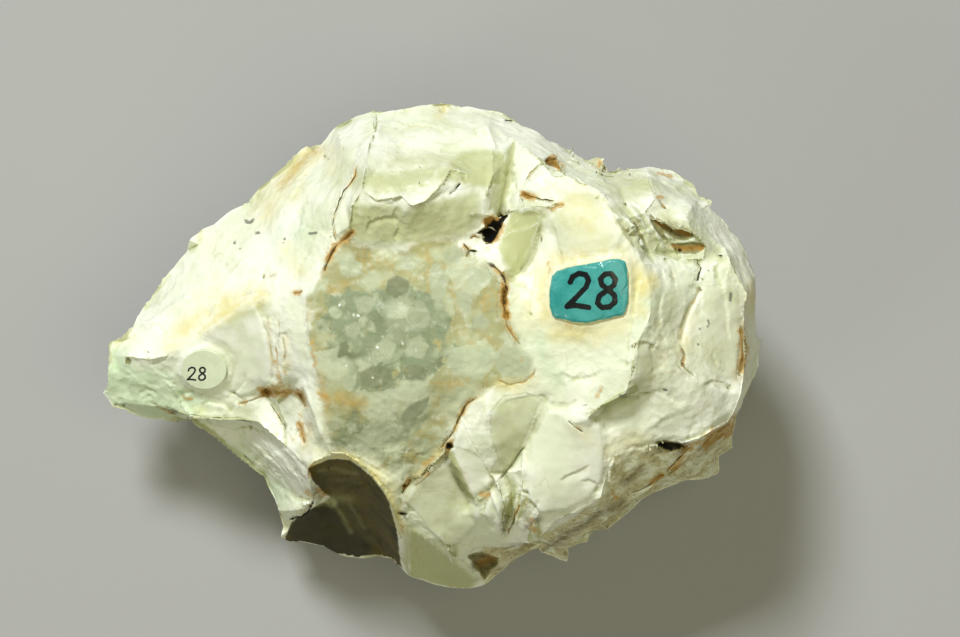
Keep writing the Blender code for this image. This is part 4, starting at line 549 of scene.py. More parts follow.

# Areas of another make-up, and the deep hollow in painted shade: width of the soft edge, and the outline
AREAS = {
    "window": (2.0, [(-26, 13.7), (-27.3, 11), (-28.5, 8.5), (-30.4, 6.3), (-31.5, 3.9), (-31.5, 0.1),
        (-30.9, -4.8), (-30.4, -7.9), (-29.5, -10.8), (-28.7, -15.7), (-28.2, -20.3), (-27.3, -23.9),
        (-24.5, -24.8), (-19.6, -25.7), (-16.4, -28.3), (-13.6, -29.2), (-11.3, -29), (-9.1, -26.8),
        (-7.3, -23.9), (-5.5, -20.3), (-3.1, -16.6), (-0.4, -14.5), (3.6, -11.9), (6.4, -12.1),
        (9.1, -11), (10, -7.9), (8, -5.2), (7.1, -2.3), (5.5, -0.3), (5.1, 3.4), (4.9, 6.6), (3.5, 8.6),
        (1.3, 10.6), (-1.8, 12.5), (-4.5, 14.3), (-7.3, 15), (-10.9, 14.6), (-13.6, 12.1),
        (-17.3, 11.9), (-20.4, 12.8), (-23.3, 14.3)]),
    "core": (2.2, [(-27.3, 3.4), (-24.5, 5.2), (-20, 5.9), (-15.5, 6.6), (-11.8, 5.5), (-7.3, 2.5),
        (-5.1, -2.1), (-5.5, -5.7), (-8, -9.7), (-12.4, -12.3), (-17.3, -13.4), (-22.7, -12.6),
        (-25.8, -9.7), (-28, -5.7), (-28.7, -1.2)]),
    "core_low": (1.6, [(-27.3, -20.3), (-23.6, -18.5), (-18.2, -18.1), (-13.6, -16.3), (-8.7, -15.5),
        (-10.2, -19.2), (-13.6, -22.1), (-18.2, -24.3), (-23.6, -24.3), (-26.5, -23.2)]),
    "cortex": (0.8, [(24.4, -25), (29.1, -23.9), (34.2, -22.5), (38.2, -23.4), (42.2, -21),
        (46.9, -17.9), (45.8, -23.4), (43.6, -27.9), (40, -29.7), (33.6, -31.5), (30, -33.2),
        (26.4, -36.1), (20, -40.8), (15.6, -43.9), (13.1, -43.2), (10.5, -42.3), (6.9, -43.9),
        (3.6, -46.3), (0.9, -48.6), (-1.1, -43.9), (0.7, -41.5), (7.3, -41.5), (12.4, -38.8),
        (17.3, -35.9), (21.8, -32.6), (23.3, -30.1)]),
    # The deep hollow and its darkest part: painted shade, over partly darker stone
    "hollow": (0.5, [(-31.3, -27.2), (-27.3, -25.5), (-23.6, -25.7), (-19.6, -28.8), (-16.7, -33),
        (-15.1, -38.5), (-14.7, -42.5), (-14.2, -45), (-12.4, -51.2), (-22.7, -50.5), (-34.2, -47.5),
        (-36, -41.2), (-34.2, -37), (-30.5, -34.5), (-27.3, -32.6), (-30.5, -29.4)]),
    "hollow_deep_shadow": (1.6, [(-33.5, -34.1), (-26.5, -34.6), (-23.6, -37.7), (-19.6, -41.2), (-19.6, -45.7),
        (-27.3, -44.3), (-34.9, -41.2)]),
    "varnish": (1.2, [(10.9, 9.5), (13.3, 10.8), (18.2, 11), (22.7, 11.4), (26.9, 12.1), (29.1, 10.3),
        (29.5, 6.1), (29.1, 1.5), (27.3, -1.7), (21.8, -3.5), (16.4, -3.2), (12.4, -2.1), (10.9, 1.5),
        (10.4, 6.1)]),
}

# Single broken faces: how free of smaller scars, how much painted shade they get, width of the soft edge,
# and the outline
FACES = {
    "step_band": (0.1, 0.8, 1.0, [(-3.3, 30.6), (1.1, 31), (5.1, 29.9), (5.8, 27), (4.7, 24.1),
        (0.7, 23.7), (-4.4, 24.5), (-8, 25.5), (-5.8, 28.1)]),
    "head_grey": (0.2, 0.5, 1.0, [(21.8, 25.9), (25.1, 27.4), (29.1, 27.4), (31.3, 25.2), (30.5, 21.9),
        (26.9, 21.2), (23.3, 22.3)]),
    "fan": (0.1, 0.6, 0.8, [(22.9, 20.5), (26.5, 20.8), (29.8, 19), (32, 15.7), (33.5, 12.5),
        (31.3, 10.3), (28.4, 12.5), (25.5, 16.1)]),
    "corner": (0.5, 0.0, 0.6, [(-38.5, -29.7), (-34.5, -32.3), (-32.7, -34.8), (-34.5, -36.6),
        (-37.1, -35.2)]),
    "under_shelf": (0.2, 0.5, 0.8, [(-20.7, 26.6), (-16, 26.6), (-10.9, 27.4), (-6.9, 28.5),
        (-9.1, 24.8), (-13.8, 23.7), (-19.6, 23.2)]),
    "slab": (1.0, 0.4, 0.35, [(-5.6, -25.2), (-4, -28.5), (-1.8, -33.2), (0.7, -33), (0, -36.6),
        (-1.8, -39.4), (-4.4, -41.4), (-6.4, -41.4), (-9.1, -38.8), (-11.6, -35.5), (-13.8, -33.4),
        (-12.7, -30.8), (-10.5, -29.5), (-8, -27.2)]),
    "blade": (1.0, 0.5, 0.4, [(1.8, -17), (4.2, -14.1), (8.2, -13.4), (11.5, -14.8), (9.1, -20.3),
        (5.8, -26.5), (4.2, -27.9), (3.1, -24.8), (2, -21.2)]),
    "scoop": (1.0, 0.95, 0.9, [(5.8, 19.4), (8.7, 20.5), (11.5, 19.4), (10.9, 16.5), (9.6, 12.8),
        (8, 9.5), (5.8, 7.4), (4.2, 10.3), (3.3, 13.2), (4.5, 16.5)]),
    "groove": (0.7, 0.6, 0.5, [(6.5, 32.5), (5.8, 27), (4.7, 21.5), (3.6, 19.4), (1.5, 19.7),
        (2.2, 25.2), (3.3, 28.8)]),
    "under_knob": (0.2, 0.7, 1.2, [(-23.3, 21.5), (-18.2, 20.8), (-12.7, 20.1), (-7.3, 21.9),
        (-0.4, 23.4), (0.4, 19.4), (-1.8, 15), (-7.3, 14.3), (-14.5, 13.5), (-21.8, 13.5),
        (-24.5, 15.7), (-24, 19.4)]),
    "wedge": (0.6, 1.25, 0.4, [(28.4, -11.9), (29.1, -13), (27.3, -14.1), (21.8, -16.3), (20, -17.2),
        (24, -14.5)]),
    "wedge_wall": (0.6, 0.45, 0.5, [(28.7, -4.8), (31.3, -5.2), (31.8, -8.6), (31.3, -12.6),
        (29.1, -13), (27.8, -11.9)]),
    "slab_shadow": (0.5, 1.5, 0.6, [(-6.2, -23.2), (-5.3, -23.7), (-3.3, -28.1), (-1.1, -33),
        (-2.4, -32.6), (-4.4, -29.5), (-5.6, -26.5)]),
    "blade_white": (1.0, 0.0, 0.2, [(3.1, -30.3), (4.2, -32.3), (4, -34.8), (3.5, -37.9), (1.8, -37.4),
        (0.5, -35.7), (1.5, -32.5)]),
    "toe_dark_a": (1.0, 1.3, 0.3, [(4.7, -32.6), (6.7, -31.2), (6, -34.5), (5.1, -37), (4.4, -39),
        (4, -36.6)]),
    "toe_dark_b": (1.0, 1.2, 0.3, [(9.3, -37.4), (10.4, -36.1), (11.1, -39), (10.2, -41.5),
        (8.5, -41)]),
    "toe_mid": (0.9, 0.8, 0.4, [(7.1, -31.9), (9.1, -32.5), (8.4, -34.8), (6.5, -37.7), (5.6, -37.4)]),
    "beak_foot": (0.9, 0.9, 0.5, [(-1.1, -32.8), (0.7, -31.9), (2.2, -31.4), (1.1, -33), (0, -33.7)]),
    "recess": (1.0, 0.05, 0.8, [(-51.6, -3), (-46.4, 0.8), (-40.9, 2.8), (-39.6, -0.6), (-38.5, -4.8),
        (-37.8, -9.7), (-39.6, -13), (-43.6, -14.5), (-45.5, -13.4), (-44.4, -7.5), (-46.4, -4.8)]),
    "white_face": (1.0, 0.0, 0.5, [(12.4, -16.3), (18.2, -17), (22.2, -19.4), (22.9, -23.9),
        (22.4, -29.4), (20, -33), (15.5, -35.2), (10.9, -35.7), (8.7, -33), (8.4, -27.5), (9.1, -23)]),
    "front": (0.8, 1.05, 1.5, [(-13.3, -37.4), (-10, -39.5), (-5.5, -43.2), (-0.4, -47.5),
        (-1.8, -50.1), (-7.3, -50.1), (-12.7, -48.6), (-13.8, -43.9)]),
    "flank": (0.7, 0.45, 0.6, [(40.7, 6.1), (47.3, 6.1), (47.6, -3.9), (46.9, -11.2), (42.2, -10.8),
        (40, -5.7)]),
    "knob_top": (0.7, 0.0, 1.0, [(-18.5, 36.1), (-9.1, 37.9), (0.7, 37.5), (1.5, 34.3), (1.8, 31.4),
        (-5.5, 31), (-13.6, 31.5), (-19.6, 32.1)]),
    "tent": (0.8, 0.0, 0.5, [(7.3, 30.6), (11.8, 27.9), (14.5, 25.2), (10.9, 23.4), (6.4, 23),
        (5.8, 27)]),
    "crest": (0.8, 0.5, 1.0, [(14.5, 23.4), (20, 23), (23.3, 19.7), (25.8, 14.3), (23.6, 11.5),
        (14.5, 11.5), (13.1, 17)]),
    "beak": (0.9, 0.15, 0.3, [(-5.5, -23.9), (-3.3, -18.5), (-1.5, -22.1), (0.7, -26.1), (2.2, -29.7),
        (1.1, -32.1), (-1.1, -32.8), (-2.9, -29.9)]),
}

# Fragments in the window: paleness, and the outline
CLASTS = [
    (0.95, [(-19.6, -13.4), (-17.1, -13), (-14.5, -12.6), (-10.9, -11.2), (-7.3, -9.4), (-9.1, -11.9),
        (-11.8, -14.5), (-14.5, -16.3), (-16.7, -17.5), (-18.5, -15.5)]),
    (0.75, [(-9.1, 9.5), (-7.8, 10.3), (-6.5, 9.2), (-5.8, 7), (-6.2, 4.5), (-7.3, 3.2), (-8.7, 3.7),
        (-9.5, 6.3)]),
    (0.8, [(3.6, -4.8), (5.5, -3.4), (8, -3.9), (9.8, -6.1), (10, -9), (8.7, -11.2), (6.2, -12.1),
        (4, -11.4), (2.9, -9.4), (2.7, -6.8)]),
    (0.7, [(-4.4, 4.5), (-2.2, 5.2), (-1.1, 3.4), (-1.8, 1.2), (-3.6, 0.8), (-4.7, 2.6)]),
    (0.7, [(-1.1, 0.5), (0.7, 1.2), (1.8, -0.6), (0.7, -2.5), (-1.1, -1.7)]),
    (0.15, [(-17.3, 7), (-15.3, 8.1), (-12.7, 7), (-13.1, 4.8), (-15.3, 3.4), (-17.1, 4.8)]),
    (0.1, [(-25.8, -4.3), (-24.4, -3.5), (-23.3, -5), (-24, -6.8), (-25.5, -7.2)]),
    (0.2, [(-22.7, -9.4), (-19.6, -8.6), (-16, -9), (-15.3, -11.2), (-18.5, -13), (-21.8, -12.3)]),
    (0.2, [(-14.5, -8.6), (-11.6, -8.3), (-9.1, -9.4), (-10.2, -11.2), (-13.5, -11.4)]),
    (0.25, [(-14.5, -17), (-12, -15.2), (-9.1, -14.1), (-9.8, -16.6), (-12.4, -18.8), (-14.2, -19.5)]),
    (0.6, [(-13.8, 1.5), (-10.9, 3.4), (-8.7, 1.2), (-9.5, -1.4), (-12.4, -1.7)]),
    (0.65, [(-23.3, 3.4), (-20.7, 4.5), (-18.5, 3.4), (-19.3, 1.2), (-22.2, 0.8)]),
    (0.6, [(-24.7, -1.4), (-22.5, -0.3), (-21.5, -2.1), (-22.9, -3.9), (-24.5, -3.5)]),
    (0.75, [(-19.6, -4.6), (-17.1, -3.2), (-14.9, -4.6), (-16, -7.2), (-18.9, -7.2)]),
    (0.7, [(-13.8, -3.9), (-10.9, -2.8), (-9.1, -5), (-10.9, -7.2), (-13.5, -6.5)]),
    (0.8, [(-26.2, 10.3), (-23.3, 11.4), (-21.1, 9.9), (-22.2, 7.7), (-25.1, 7.4)]),
    (0.75, [(-14.9, 11.4), (-11.6, 12.5), (-10.2, 10.6), (-12, 8.5), (-14.5, 8.8)]),
    (0.65, [(-7.3, 13.2), (-4.4, 13.5), (-2.5, 11.7), (-4, 9.5), (-6.5, 10.6)]),
    (0.85, [(0, -5.7), (1.8, -5), (2.5, -7.5), (1.1, -9.4), (-0.4, -7.9)]),
    (0.7, [(-25.5, -10.5), (-23.6, -9.7), (-22.2, -11.5), (-23.6, -13.4), (-25.3, -12.6)]),
    (0.75, [(-5.8, -6.8), (-3.3, -6.1), (-2.2, -8.6), (-4.4, -10.1), (-6.2, -9)]),
    (0.7, [(-19.6, -19.2), (-16.7, -18.5), (-15.3, -20.6), (-17.5, -22.5), (-20, -21.7)]),
    (0.8, [(-2.5, 9.5), (0, 9.5), (1.1, 7), (-0.7, 5.5), (-2.5, 7)]),
]

# Specks in the window, painted as white glints
SPECKS = [(-23.1, 0.8), (-22.2, 0.6), (-20.2, -0.8), (-17.5, -3.2), (-18.5, -5.4), (-14.2, -4.5),
    (-11.6, -5.5), (-25.5, 2.6), (-19.3, -10.8), (-21.5, -3.2), (-16, -2.1), (-24.5, -8.6), (-9.1, -6.1)]


# ---------------------------------------------------------------- numbers


def ramp(values, low, high):
    """0 below low, 1 above high, and a smooth rise between them."""
    share = np.clip((values - low) / (high - low), 0, 1)
    return share * share * (3 - 2 * share)


def lumps(points, size, seed):
    """Smooth noise between about -1 and 1, with lumps of this size."""
    rng = np.random.default_rng(seed)
    order = rng.permutation(256)
    slopes = rng.normal(size=(256, 3))
    slopes /= np.linalg.norm(slopes, axis=1)[:, None]
    cell = points / size
    corner = np.floor(cell).astype(int)
    part = cell - corner
    fade = part**3 * (part * (part * 6 - 15) + 10)
    total = np.zeros(len(points))
    for step in itertools.product((0, 1), repeat=3):
        at = (corner + step) & 255
        pick = order[(order[(order[at[:, 0]] + at[:, 1]) & 255] + at[:, 2]) & 255]
        value = (slopes[pick] * (part - step)).sum(1)
        total += value * np.prod(np.where(step, fade, 1 - fade), axis=1)
    return total * 1.6


def shifts(points, size, seed, axes=3):
    """Smooth noise along each of the axes."""
    return np.stack([lumps(points, size, seed + k) for k in range(axes)], axis=1)


def plan_of(points):
    """Where each point lies on the plan."""
    nearness = (SIGHT[2] - points[:, 2]) / (SIGHT[2] - PLAN_HEIGHT)
    return (points[:, :2] - SIGHT[:2]) / nearness[:, None]


def drifted_plan(points):
    """The plan, pushed about a little."""
    return plan_of(points) + shifts(points, 1.6, 60, 2) * DRIFT


def beside(plan, way, reach):
    """The points within reach of a way: which, how far, on which side (1 is left), and how far along."""
    way = np.array(way, float)
    near = np.flatnonzero(((plan > way.min(0) - reach) & (plan < way.max(0) + reach)).all(1))
    spot = plan[near]
    best = np.full(len(near), np.inf)
    side = np.ones(len(near))
    along = np.zeros(len(near))
    steps = np.diff(way, axis=0)
    lengths = np.hypot(steps[:, 0], steps[:, 1])
    before = 0.0
    for start, step, length in zip(way, steps, lengths):
        share = np.clip((spot - start) @ step / length**2, 0, 1)
        gap = spot - start - share[:, None] * step
        distance = np.hypot(gap[:, 0], gap[:, 1])
        closer = distance < best
        best[closer] = distance[closer]
        side[closer] = np.where(step[0] * gap[closer, 1] > step[1] * gap[closer, 0], 1, -1)
        along[closer] = (before + share[closer] * length) / lengths.sum()
        before += length
    within = best < reach
    return near[within], best[within], side[within], along[within]


def depth_inside(plan, outline, reach):
    """Distance from the outline, above 0 inside it, and -reach where it is far away."""
    ring = np.array(outline + outline[:1], float)
    low, high = ring.min(0) - reach, ring.max(0) + reach
    depth = np.full(len(plan), -float(reach))
    near = np.flatnonzero(((plan > low) & (plan < high)).all(1))
    x, y = plan[near].T
    inside = np.zeros(len(near), bool)
    best = np.full(len(near), np.inf)
    for (ax, ay), (bx, by) in zip(ring[:-1], ring[1:]):
        run, rise = bx - ax, by - ay
        share = np.clip(((x - ax) * run + (y - ay) * rise) / (run**2 + rise**2), 0, 1)
        best = np.minimum(best, np.hypot(x - ax - share * run, y - ay - share * rise))
        if rise:
            inside ^= ((ay > y) != (by > y)) & (x < run * (y - ay) / rise + ax)
    depth[near] = np.maximum(np.where(inside, best, -best), -reach)
    return depth


def tapered(along, ends=0.18):
    """1 in the middle of a way, falling to 0 over this share of it at each end."""
    return ramp(np.minimum(along, 1 - along), 0, ends)


# ---------------------------------------------------------------- fine meshes


def merged_copy(node):
    """A bmesh of a solid's surface, with its loose triangles joined."""
    form = bmesh.new()
    form.from_mesh(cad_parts[node].data)
    bmesh.ops.remove_doubles(form, verts=form.verts, dist=WELD * MM)
    form.normal_update()
    return form


class Reading:
    """The points, normals, edges and faces of a bmesh as arrays, in millimetres."""

    def __init__(self, form):
        form.verts.index_update()
        form.normal_update()
        mesh = bpy.data.meshes.new("reading")
        form.to_mesh(mesh)
        self.points = self.read(mesh.vertices, "co", 3) / MM
        self.normals = self.read(mesh.vertices, "normal", 3)
        self.ends = self.read(mesh.edges, "vertices", 2, int)
        self.faces = self.read(mesh.polygons, "vertices", 3, int)
        bpy.data.meshes.remove(mesh)

    def read(self, items, name, width, kind=float):
        """One property of all the items, this many numbers for each."""
        values = np.empty(len(items) * width, np.int32 if kind is int else np.float32)
        items.foreach_get(name, values)
        return values.reshape(-1, width).astype(kind)


def mark_ridges(form):
    """Stores on each edge how much of a ridge it is, from 0 to 1."""
    ridge = form.edges.layers.float.new("ridge")
    for edge in form.edges:
        if len(edge.link_faces) == 2:
            angle = edge.calc_face_angle(0.0)
            edge[ridge] = min(max((angle - 0.2) / 0.25, 0.0), 1.0)
    return ridge


def refine(form, grain_of, rounds=8):
    """Splits the edges that are longer than the grain asked for at their ends."""
    for _ in range(rounds):
        now = Reading(form)
        grain = grain_of(now.points, now.normals)
        a, b = now.ends.T
        lengths = np.linalg.norm(now.points[a] - now.points[b], axis=1)
        too_long = lengths > np.minimum(grain[a], grain[b]) * 1.35
        if not too_long.any():
            break
        split = [edge for edge, long in zip(form.edges, too_long) if long]
        bmesh.ops.subdivide_edges(form, edges=split, cuts=1)
        bmesh.ops.triangulate(form, faces=[f for f in form.faces if len(f.verts) > 3])


class Surface:
    """The points of a fine mesh in millimetres, with the edges and normals that shape it."""

    def __init__(self, form, ridge):
        now = Reading(form)
        self.points, self.ends, self.faces = now.points, now.ends, now.faces
        self.ridge = np.array([e[ridge] for e in form.edges])
        self.even = np.ones(len(self.ends))

    def normals(self):
        """The direction that each point faces."""
        a, b, c = (self.points[self.faces[:, i]] for i in range(3))
        face = np.cross(b - a, c - a)
        total = np.zeros_like(self.points)
        for i, axis in itertools.product(range(3), range(3)):
            total[:, axis] += np.bincount(self.faces[:, i], face[:, axis], len(self.points))
        return total / np.maximum(np.linalg.norm(total, axis=1), 1e-12)[:, None]

    def gathered(self, to_a, to_b):
        """The sum at each point of what its edges bring to their first and second ends."""
        a, b = self.ends.T
        size = len(self.points)
        return np.bincount(a, to_a, size) + np.bincount(b, to_b, size)

    def pulled(self, weight):
        """The weighted middle of each point's neighbours, and the sum of the weights."""
        a, b = self.ends.T
        total = self.gathered(weight, weight)
        middle = np.empty_like(self.points)
        for axis in range(3):
            value = self.points[:, axis]
            middle[:, axis] = self.gathered(weight * value[b], weight * value[a])
        return middle / np.maximum(total, 1e-9)[:, None], total

    def hollowed(self, normals):
        """How hollow the surface is at each point: above 0 in a valley, below it on a ridge."""
        a, b = self.ends.T
        lengths = np.linalg.norm(self.points[a] - self.points[b], axis=1)
        count = self.gathered(self.even, self.even)
        reach = self.gathered(lengths, lengths) / count
        middle, _ = self.pulled(self.even)
        value = ((middle - self.points) * normals).sum(1) / reach
        for _ in range(2):
            value = (value + self.gathered(value[b], value[a]) / count) / 2
        return np.clip(value * 6, -1, 1)

    def even_out(self, rounds):
        """Takes out the small flats between the ridges, and keeps the ridges and the whole form.

        Each round pulls the points in and then pushes them out a little more, so that nothing shrinks.
        """
        strength = np.zeros(len(self.points))
        for end in self.ends.T:
            np.maximum.at(strength, end, self.ridge)
        crossing = self.gathered(self.ridge > 0.3, self.ridge > 0.3)
        hold = np.where(crossing > 2.5, 0.25, 1.0)[:, None]
        for amount in [0.55, -0.57] * rounds:
            free, _ = self.pulled(self.even)
            crest, total = self.pulled(self.ridge)
            crest = np.where(total[:, None] > 1e-6, crest, self.points)
            goal = free + (crest - free) * strength[:, None]
            self.points += (goal - self.points) * amount * hold

    def relax(self, share, rounds):
        """Moves each point by its share towards the middle of its neighbours."""
        for _ in range(rounds):
            middle = self.pulled(self.even)[0]
            self.points += (middle - self.points) * share[:, None]


def fine_copy(node, grain_of):
    """A refined bmesh of a solid, and its surface."""
    form = merged_copy(node)
    ridge = mark_ridges(form)
    refine(form, grain_of)
    form.verts.index_update()
    surface = Surface(form, ridge)
    form.edges.layers.float.remove(ridge)
    return form, surface


def placed(name, data):
    """A scene object for a mesh, light or camera."""
    made = bpy.data.objects.new(name, data)
    bpy.context.scene.collection.objects.link(made)
    return made


def piece_of(form, name, surface):
    """A scene object with the moved points."""
    mesh = bpy.data.meshes.new(name)
    form.to_mesh(mesh)
    form.free()
    mesh.vertices.foreach_set("co", (surface.points * MM).astype(np.float32).ravel())
    mesh.update()
    return placed(name, mesh)


def write_marks(mesh, marks):
    """Stores the marks on the points, where the finish reads them."""
    for name, values in marks.items():
        attribute = mesh.attributes.new(name, "FLOAT", "POINT")
        attribute.data.foreach_set("value", values.astype(np.float32))


def drop_slivers(mesh):
    """Takes out the triangles that are too thin to see."""
    form = bmesh.new()
    form.from_mesh(mesh)
    bmesh.ops.dissolve_degenerate(form, dist=SLIVER * MM, edges=form.edges)
    bmesh.ops.triangulate(form, faces=[f for f in form.faces if len(f.verts) > 3])
    form.to_mesh(mesh)
    form.free()


def finish_mesh(mesh, marks, crisp, finish):
    """Gives a piece its marks, its hard edges and its material."""
    write_marks(mesh, marks)
    drop_slivers(mesh)
    mesh.polygons.foreach_set("use_smooth", [True] * len(mesh.polygons))
    mesh.set_sharp_from_angle(angle=crisp)
    mesh.materials.append(finish)


# ---------------------------------------------------------------- the stone's shape


def striation_ways(count, start, end):
    """Slightly bowed ways from one edge of a fan to the other."""
    (ax, ay), (bx, by) = start
    (cx, cy), (dx, dy) = end
    for i in range(count):
        t = (i + 0.5) / count
        bow = 0.4 * math.sin(5.1 * i)
        first = (ax + (bx - ax) * t, ay + (by - ay) * t)
        last = (cx + (dx - cx) * t, cy + (dy - cy) * t)
        yield [first, ((first[0] + last[0]) / 2 + bow, (first[1] + last[1]) / 2 + bow), last]


def line_ways():
    """Every way that needs a fine mesh beside it, with four of them in each fan of fine ribs."""
    for table in (CRACKS, LEDGES, RIBS):
        yield from (row[-1] for row in table.values())
    for row in PITS.values():
        yield row[-1] + row[-1][:1]
    for _, _, start, end in STRIATIONS.values():
        yield from striation_ways(4, start, end)


def stone_grain(points, normals):
    """The fineness that each point of the stone needs."""
    grain = np.where(normals[:, 2] > 0.25, TOP_GRAIN, SIDE_GRAIN)
    grain = np.where(normals[:, 2] < -0.3, UNDER_GRAIN, grain)
    plan = plan_of(points)
    top = np.flatnonzero(normals[:, 2] > 0.02)
    finest = np.full(len(top), FAR)
    for way in line_ways():
        near, distance, _, _ = beside(plan[top], way, 1.6)
        finest[near] = np.minimum(finest[near], distance)
    fine = LINE_GRAIN + np.maximum(finest - LINE_REACH, 0) * 0.5
    grain[top] = np.minimum(grain[top], fine)
    return grain


def thickness(form):
    """How thick the stone is under each point, in millimetres, and FAR where it is thicker than that."""
    skin = 0.02 * MM  # each ray starts this far below its own point
    form.normal_update()
    tree = BVHTree.FromBMesh(form)
    depths = []
    for vert in form.verts:
        gap = tree.ray_cast(vert.co - vert.normal * skin, -vert.normal, FAR * MM)[3]
        depths.append(FAR if gap is None else gap / MM)
    return np.array(depths)


def outline_of(node):
    """The outline of a label on the plan, as a ring of points."""
    points = np.array([v.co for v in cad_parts[node].data.vertices]) / MM
    plan = [tuple(spot) for spot in plan_of(points)]
    hull = [plan[i] for i in convex_hull_2d(plan)]
    return [spot for spot, before in zip(hull, hull[-1:] + hull) if math.dist(spot, before) > 0.05]


def label_distance(plan):
    """How far each point of the plan is outside the two labels."""
    depths = [depth_inside(plan, outline_of(node), FAR) for node in ("paper_disc", "enamel_patch")]
    return -np.maximum(*depths)


def restlessness(surface, thick):
    """How strongly each point is scarred: less on calm faces, and not at all on a thin rim."""
    restless = 0.45 + 0.55 * ramp(lumps(surface.points, 14, 3), -0.35, 0.4)
    plan = plan_of(surface.points)
    for calm, _, _, outline in FACES.values():
        restless *= 1 - calm * ramp(depth_inside(plan, outline, 1.5), -0.3, 0.6)
    return restless * ramp(thick, 0.6, 3.5)


def strike_scars(surface, apart, depth, seed, share):
    """Cuts flat and slightly hollow faces, about this far apart, which meet in crisp edges."""
    rng = np.random.default_rng(seed)
    normals = surface.normals()
    seeds = surface.points[rng.permutation(len(surface.points))[: int(60000 / apart**2)]]
    tree = KDTree(len(seeds))
    for i, place in enumerate(seeds):
        tree.insert(place, i)
    tree.balance()
    tilt = rng.normal(size=seeds.shape) * 0.55
    rise = rng.random(len(seeds)) * 0.4
    moved = surface.points + shifts(surface.points, apart * 0.8, seed) * apart * 0.16
    near = np.array([[hit[1] for hit in tree.find_n(place, 5)] for place in moved])
    gap = (moved[:, None, :] - seeds[near]) / apart
    height = 0.55 * (gap**2).sum(2) + (gap * tilt[near]).sum(2) + rise[near]
    sink = np.clip(height.min(1) - 0.75, -1.2, 0.1) * depth * share
    surface.points += normals * sink[:, None]


def raise_beside(lift, plan, way, height, reach, ends=0.18, right_only=False):
    """Adds a ridge along a way, or a groove where the height is below 0, and only on its right if asked."""
    near, distance, side, along = beside(plan, way, reach)
    rise = height * (1 - distance / reach) * tapered(along, ends)
    lift[near] += np.where(side < 0, rise, 0) if right_only else rise


def feature_lift(plan):
    """How far the ledges, ribs, cracks and pits raise each point of the plan, in millimetres."""
    lift = np.zeros(len(plan))
    for drop, reach, way in LEDGES.values():
        raise_beside(lift, plan, way, -drop, reach, right_only=True)
    for height, half, way in RIBS.values():
        raise_beside(lift, plan, way, height, half)
    for count, height, start, end in STRIATIONS.values():
        for way in striation_ways(count, start, end):
            raise_beside(lift, plan, way, height, STRIATION_WIDTH, ends=0.3)
    for half, depth, _, _, _, way in CRACKS.values():
        raise_beside(lift, plan, way, -depth, half + CRACK_WALL, ends=0.12)
    for depth, wall, _, outline in PITS.values():
        lift -= depth * ramp(depth_inside(plan, outline, 1.0), -0.1, wall)
    return lift


def shape_stone(surface, thick):
    """Moves the points of the stone into its scars, ledges, ribs, cracks and pits."""
    surface.even_out(9)
    off_the_ground = ramp(surface.points[:, 2], 0.3, 1.5)
    surface.points += shifts(surface.points, 2.6, 40) * 0.1 * off_the_ground[:, None]
    labels = label_distance(plan_of(surface.points))
    round_labels = ramp(labels, 0.2, 0.8) * ramp(labels, 4.0, 2.5) * off_the_ground
    surface.relax(0.6 * round_labels, 25)
    clear = ramp(labels, 0.2, 1.5) * off_the_ground
    broken = restlessness(surface, thick) * clear
    strike_scars(surface, 6.5, 0.6, 21, broken)
    strike_scars(surface, 2.8, 0.2, 22, broken)
    normals = surface.normals()
    lift = feature_lift(drifted_plan(surface.points)) * (ramp(normals[:, 2], 0.0, 0.2) * clear)
    surface.points += normals * lift[:, None]
    surface.relax(0.5 * ramp(-lift, 0.1, 0.4), 2)
    low, high = (np.array(corner) / MM for corner in cad_box)
    surface.points = np.clip(surface.points, low + 0.001, high - 0.001)


# ---------------------------------------------------------------- the stone's marks


def stain_beside(value, plan, way, strength, reach):
    """Raises the value beside a way, to its full strength on it."""
    near, distance, _, _ = beside(plan, way, reach)
    value[near] = np.maximum(value[near], strength * (1 - distance / reach))


def crack_marks(points, plan):
    """Where the dark lines of the cracks lie, how dark they are, and the rust and ochre beside them."""
    across = np.full(len(points), 6.0)
    dark, rust, halo = np.zeros((3, len(points)))
    patchy = 0.3 + 0.6 * ramp(lumps(points, 3.0, 71), -0.3, 0.5)
    swelling = 0.3 + 1.3 * ramp(lumps(points, 1.3, 74), -0.6, 0.9)
    for half, _, black, reach, strength, way in CRACKS.values():
        near, distance, side, along = beside(plan, way, half * 6)
        width = half * swelling[near]
        closer = distance / width < np.abs(across[near])
        across[near[closer]] = (side * distance / width)[closer]
        depth = black * ramp(half * 6 - distance, 0, half * 3) * tapered(along, 0.1)
        dark[near[closer]] = depth[closer]
        near, distance, _, along = beside(plan, way, reach)
        share = strength * patchy[near] * tapered(along, 0.1)
        rust[near] = np.maximum(rust[near], share * (1 - distance / reach))
        stain_beside(halo, plan, way, 0.6 * strength, reach * 2.6)
    return across, dark, rust, halo


def pit_mark(plan):
    """How dark the painted shade in the pits is."""
    pit = np.zeros(len(plan))
    for _, wall, black, outline in PITS.values():
        pit = np.maximum(pit, black * ramp(depth_inside(plan, outline, 1.0), -0.15, wall * 0.6))
    return pit


def face_marks(plan):
    """How much painted shade the single broken faces get, and how calm they are."""
    face, calm = np.zeros((2, len(plan)))
    for quiet, shaded, edge, outline in FACES.values():
        inside = ramp(depth_inside(plan, outline, 2.0), -edge, edge)
        face = np.maximum(face, shaded * inside)
        calm = np.maximum(calm, quiet * inside)
    return face, calm


def fragment_marks(plan):
    """How deep each point lies in a fragment of the window, and how pale that fragment is."""
    depth = np.full(len(plan), -3.0)
    shade = np.full(len(plan), 0.5)
    for paleness, outline in CLASTS:
        inner = depth_inside(plan, outline, 1.5)
        closer = inner > depth
        depth[closer] = inner[closer]
        shade[closer] = paleness
    return depth, shade


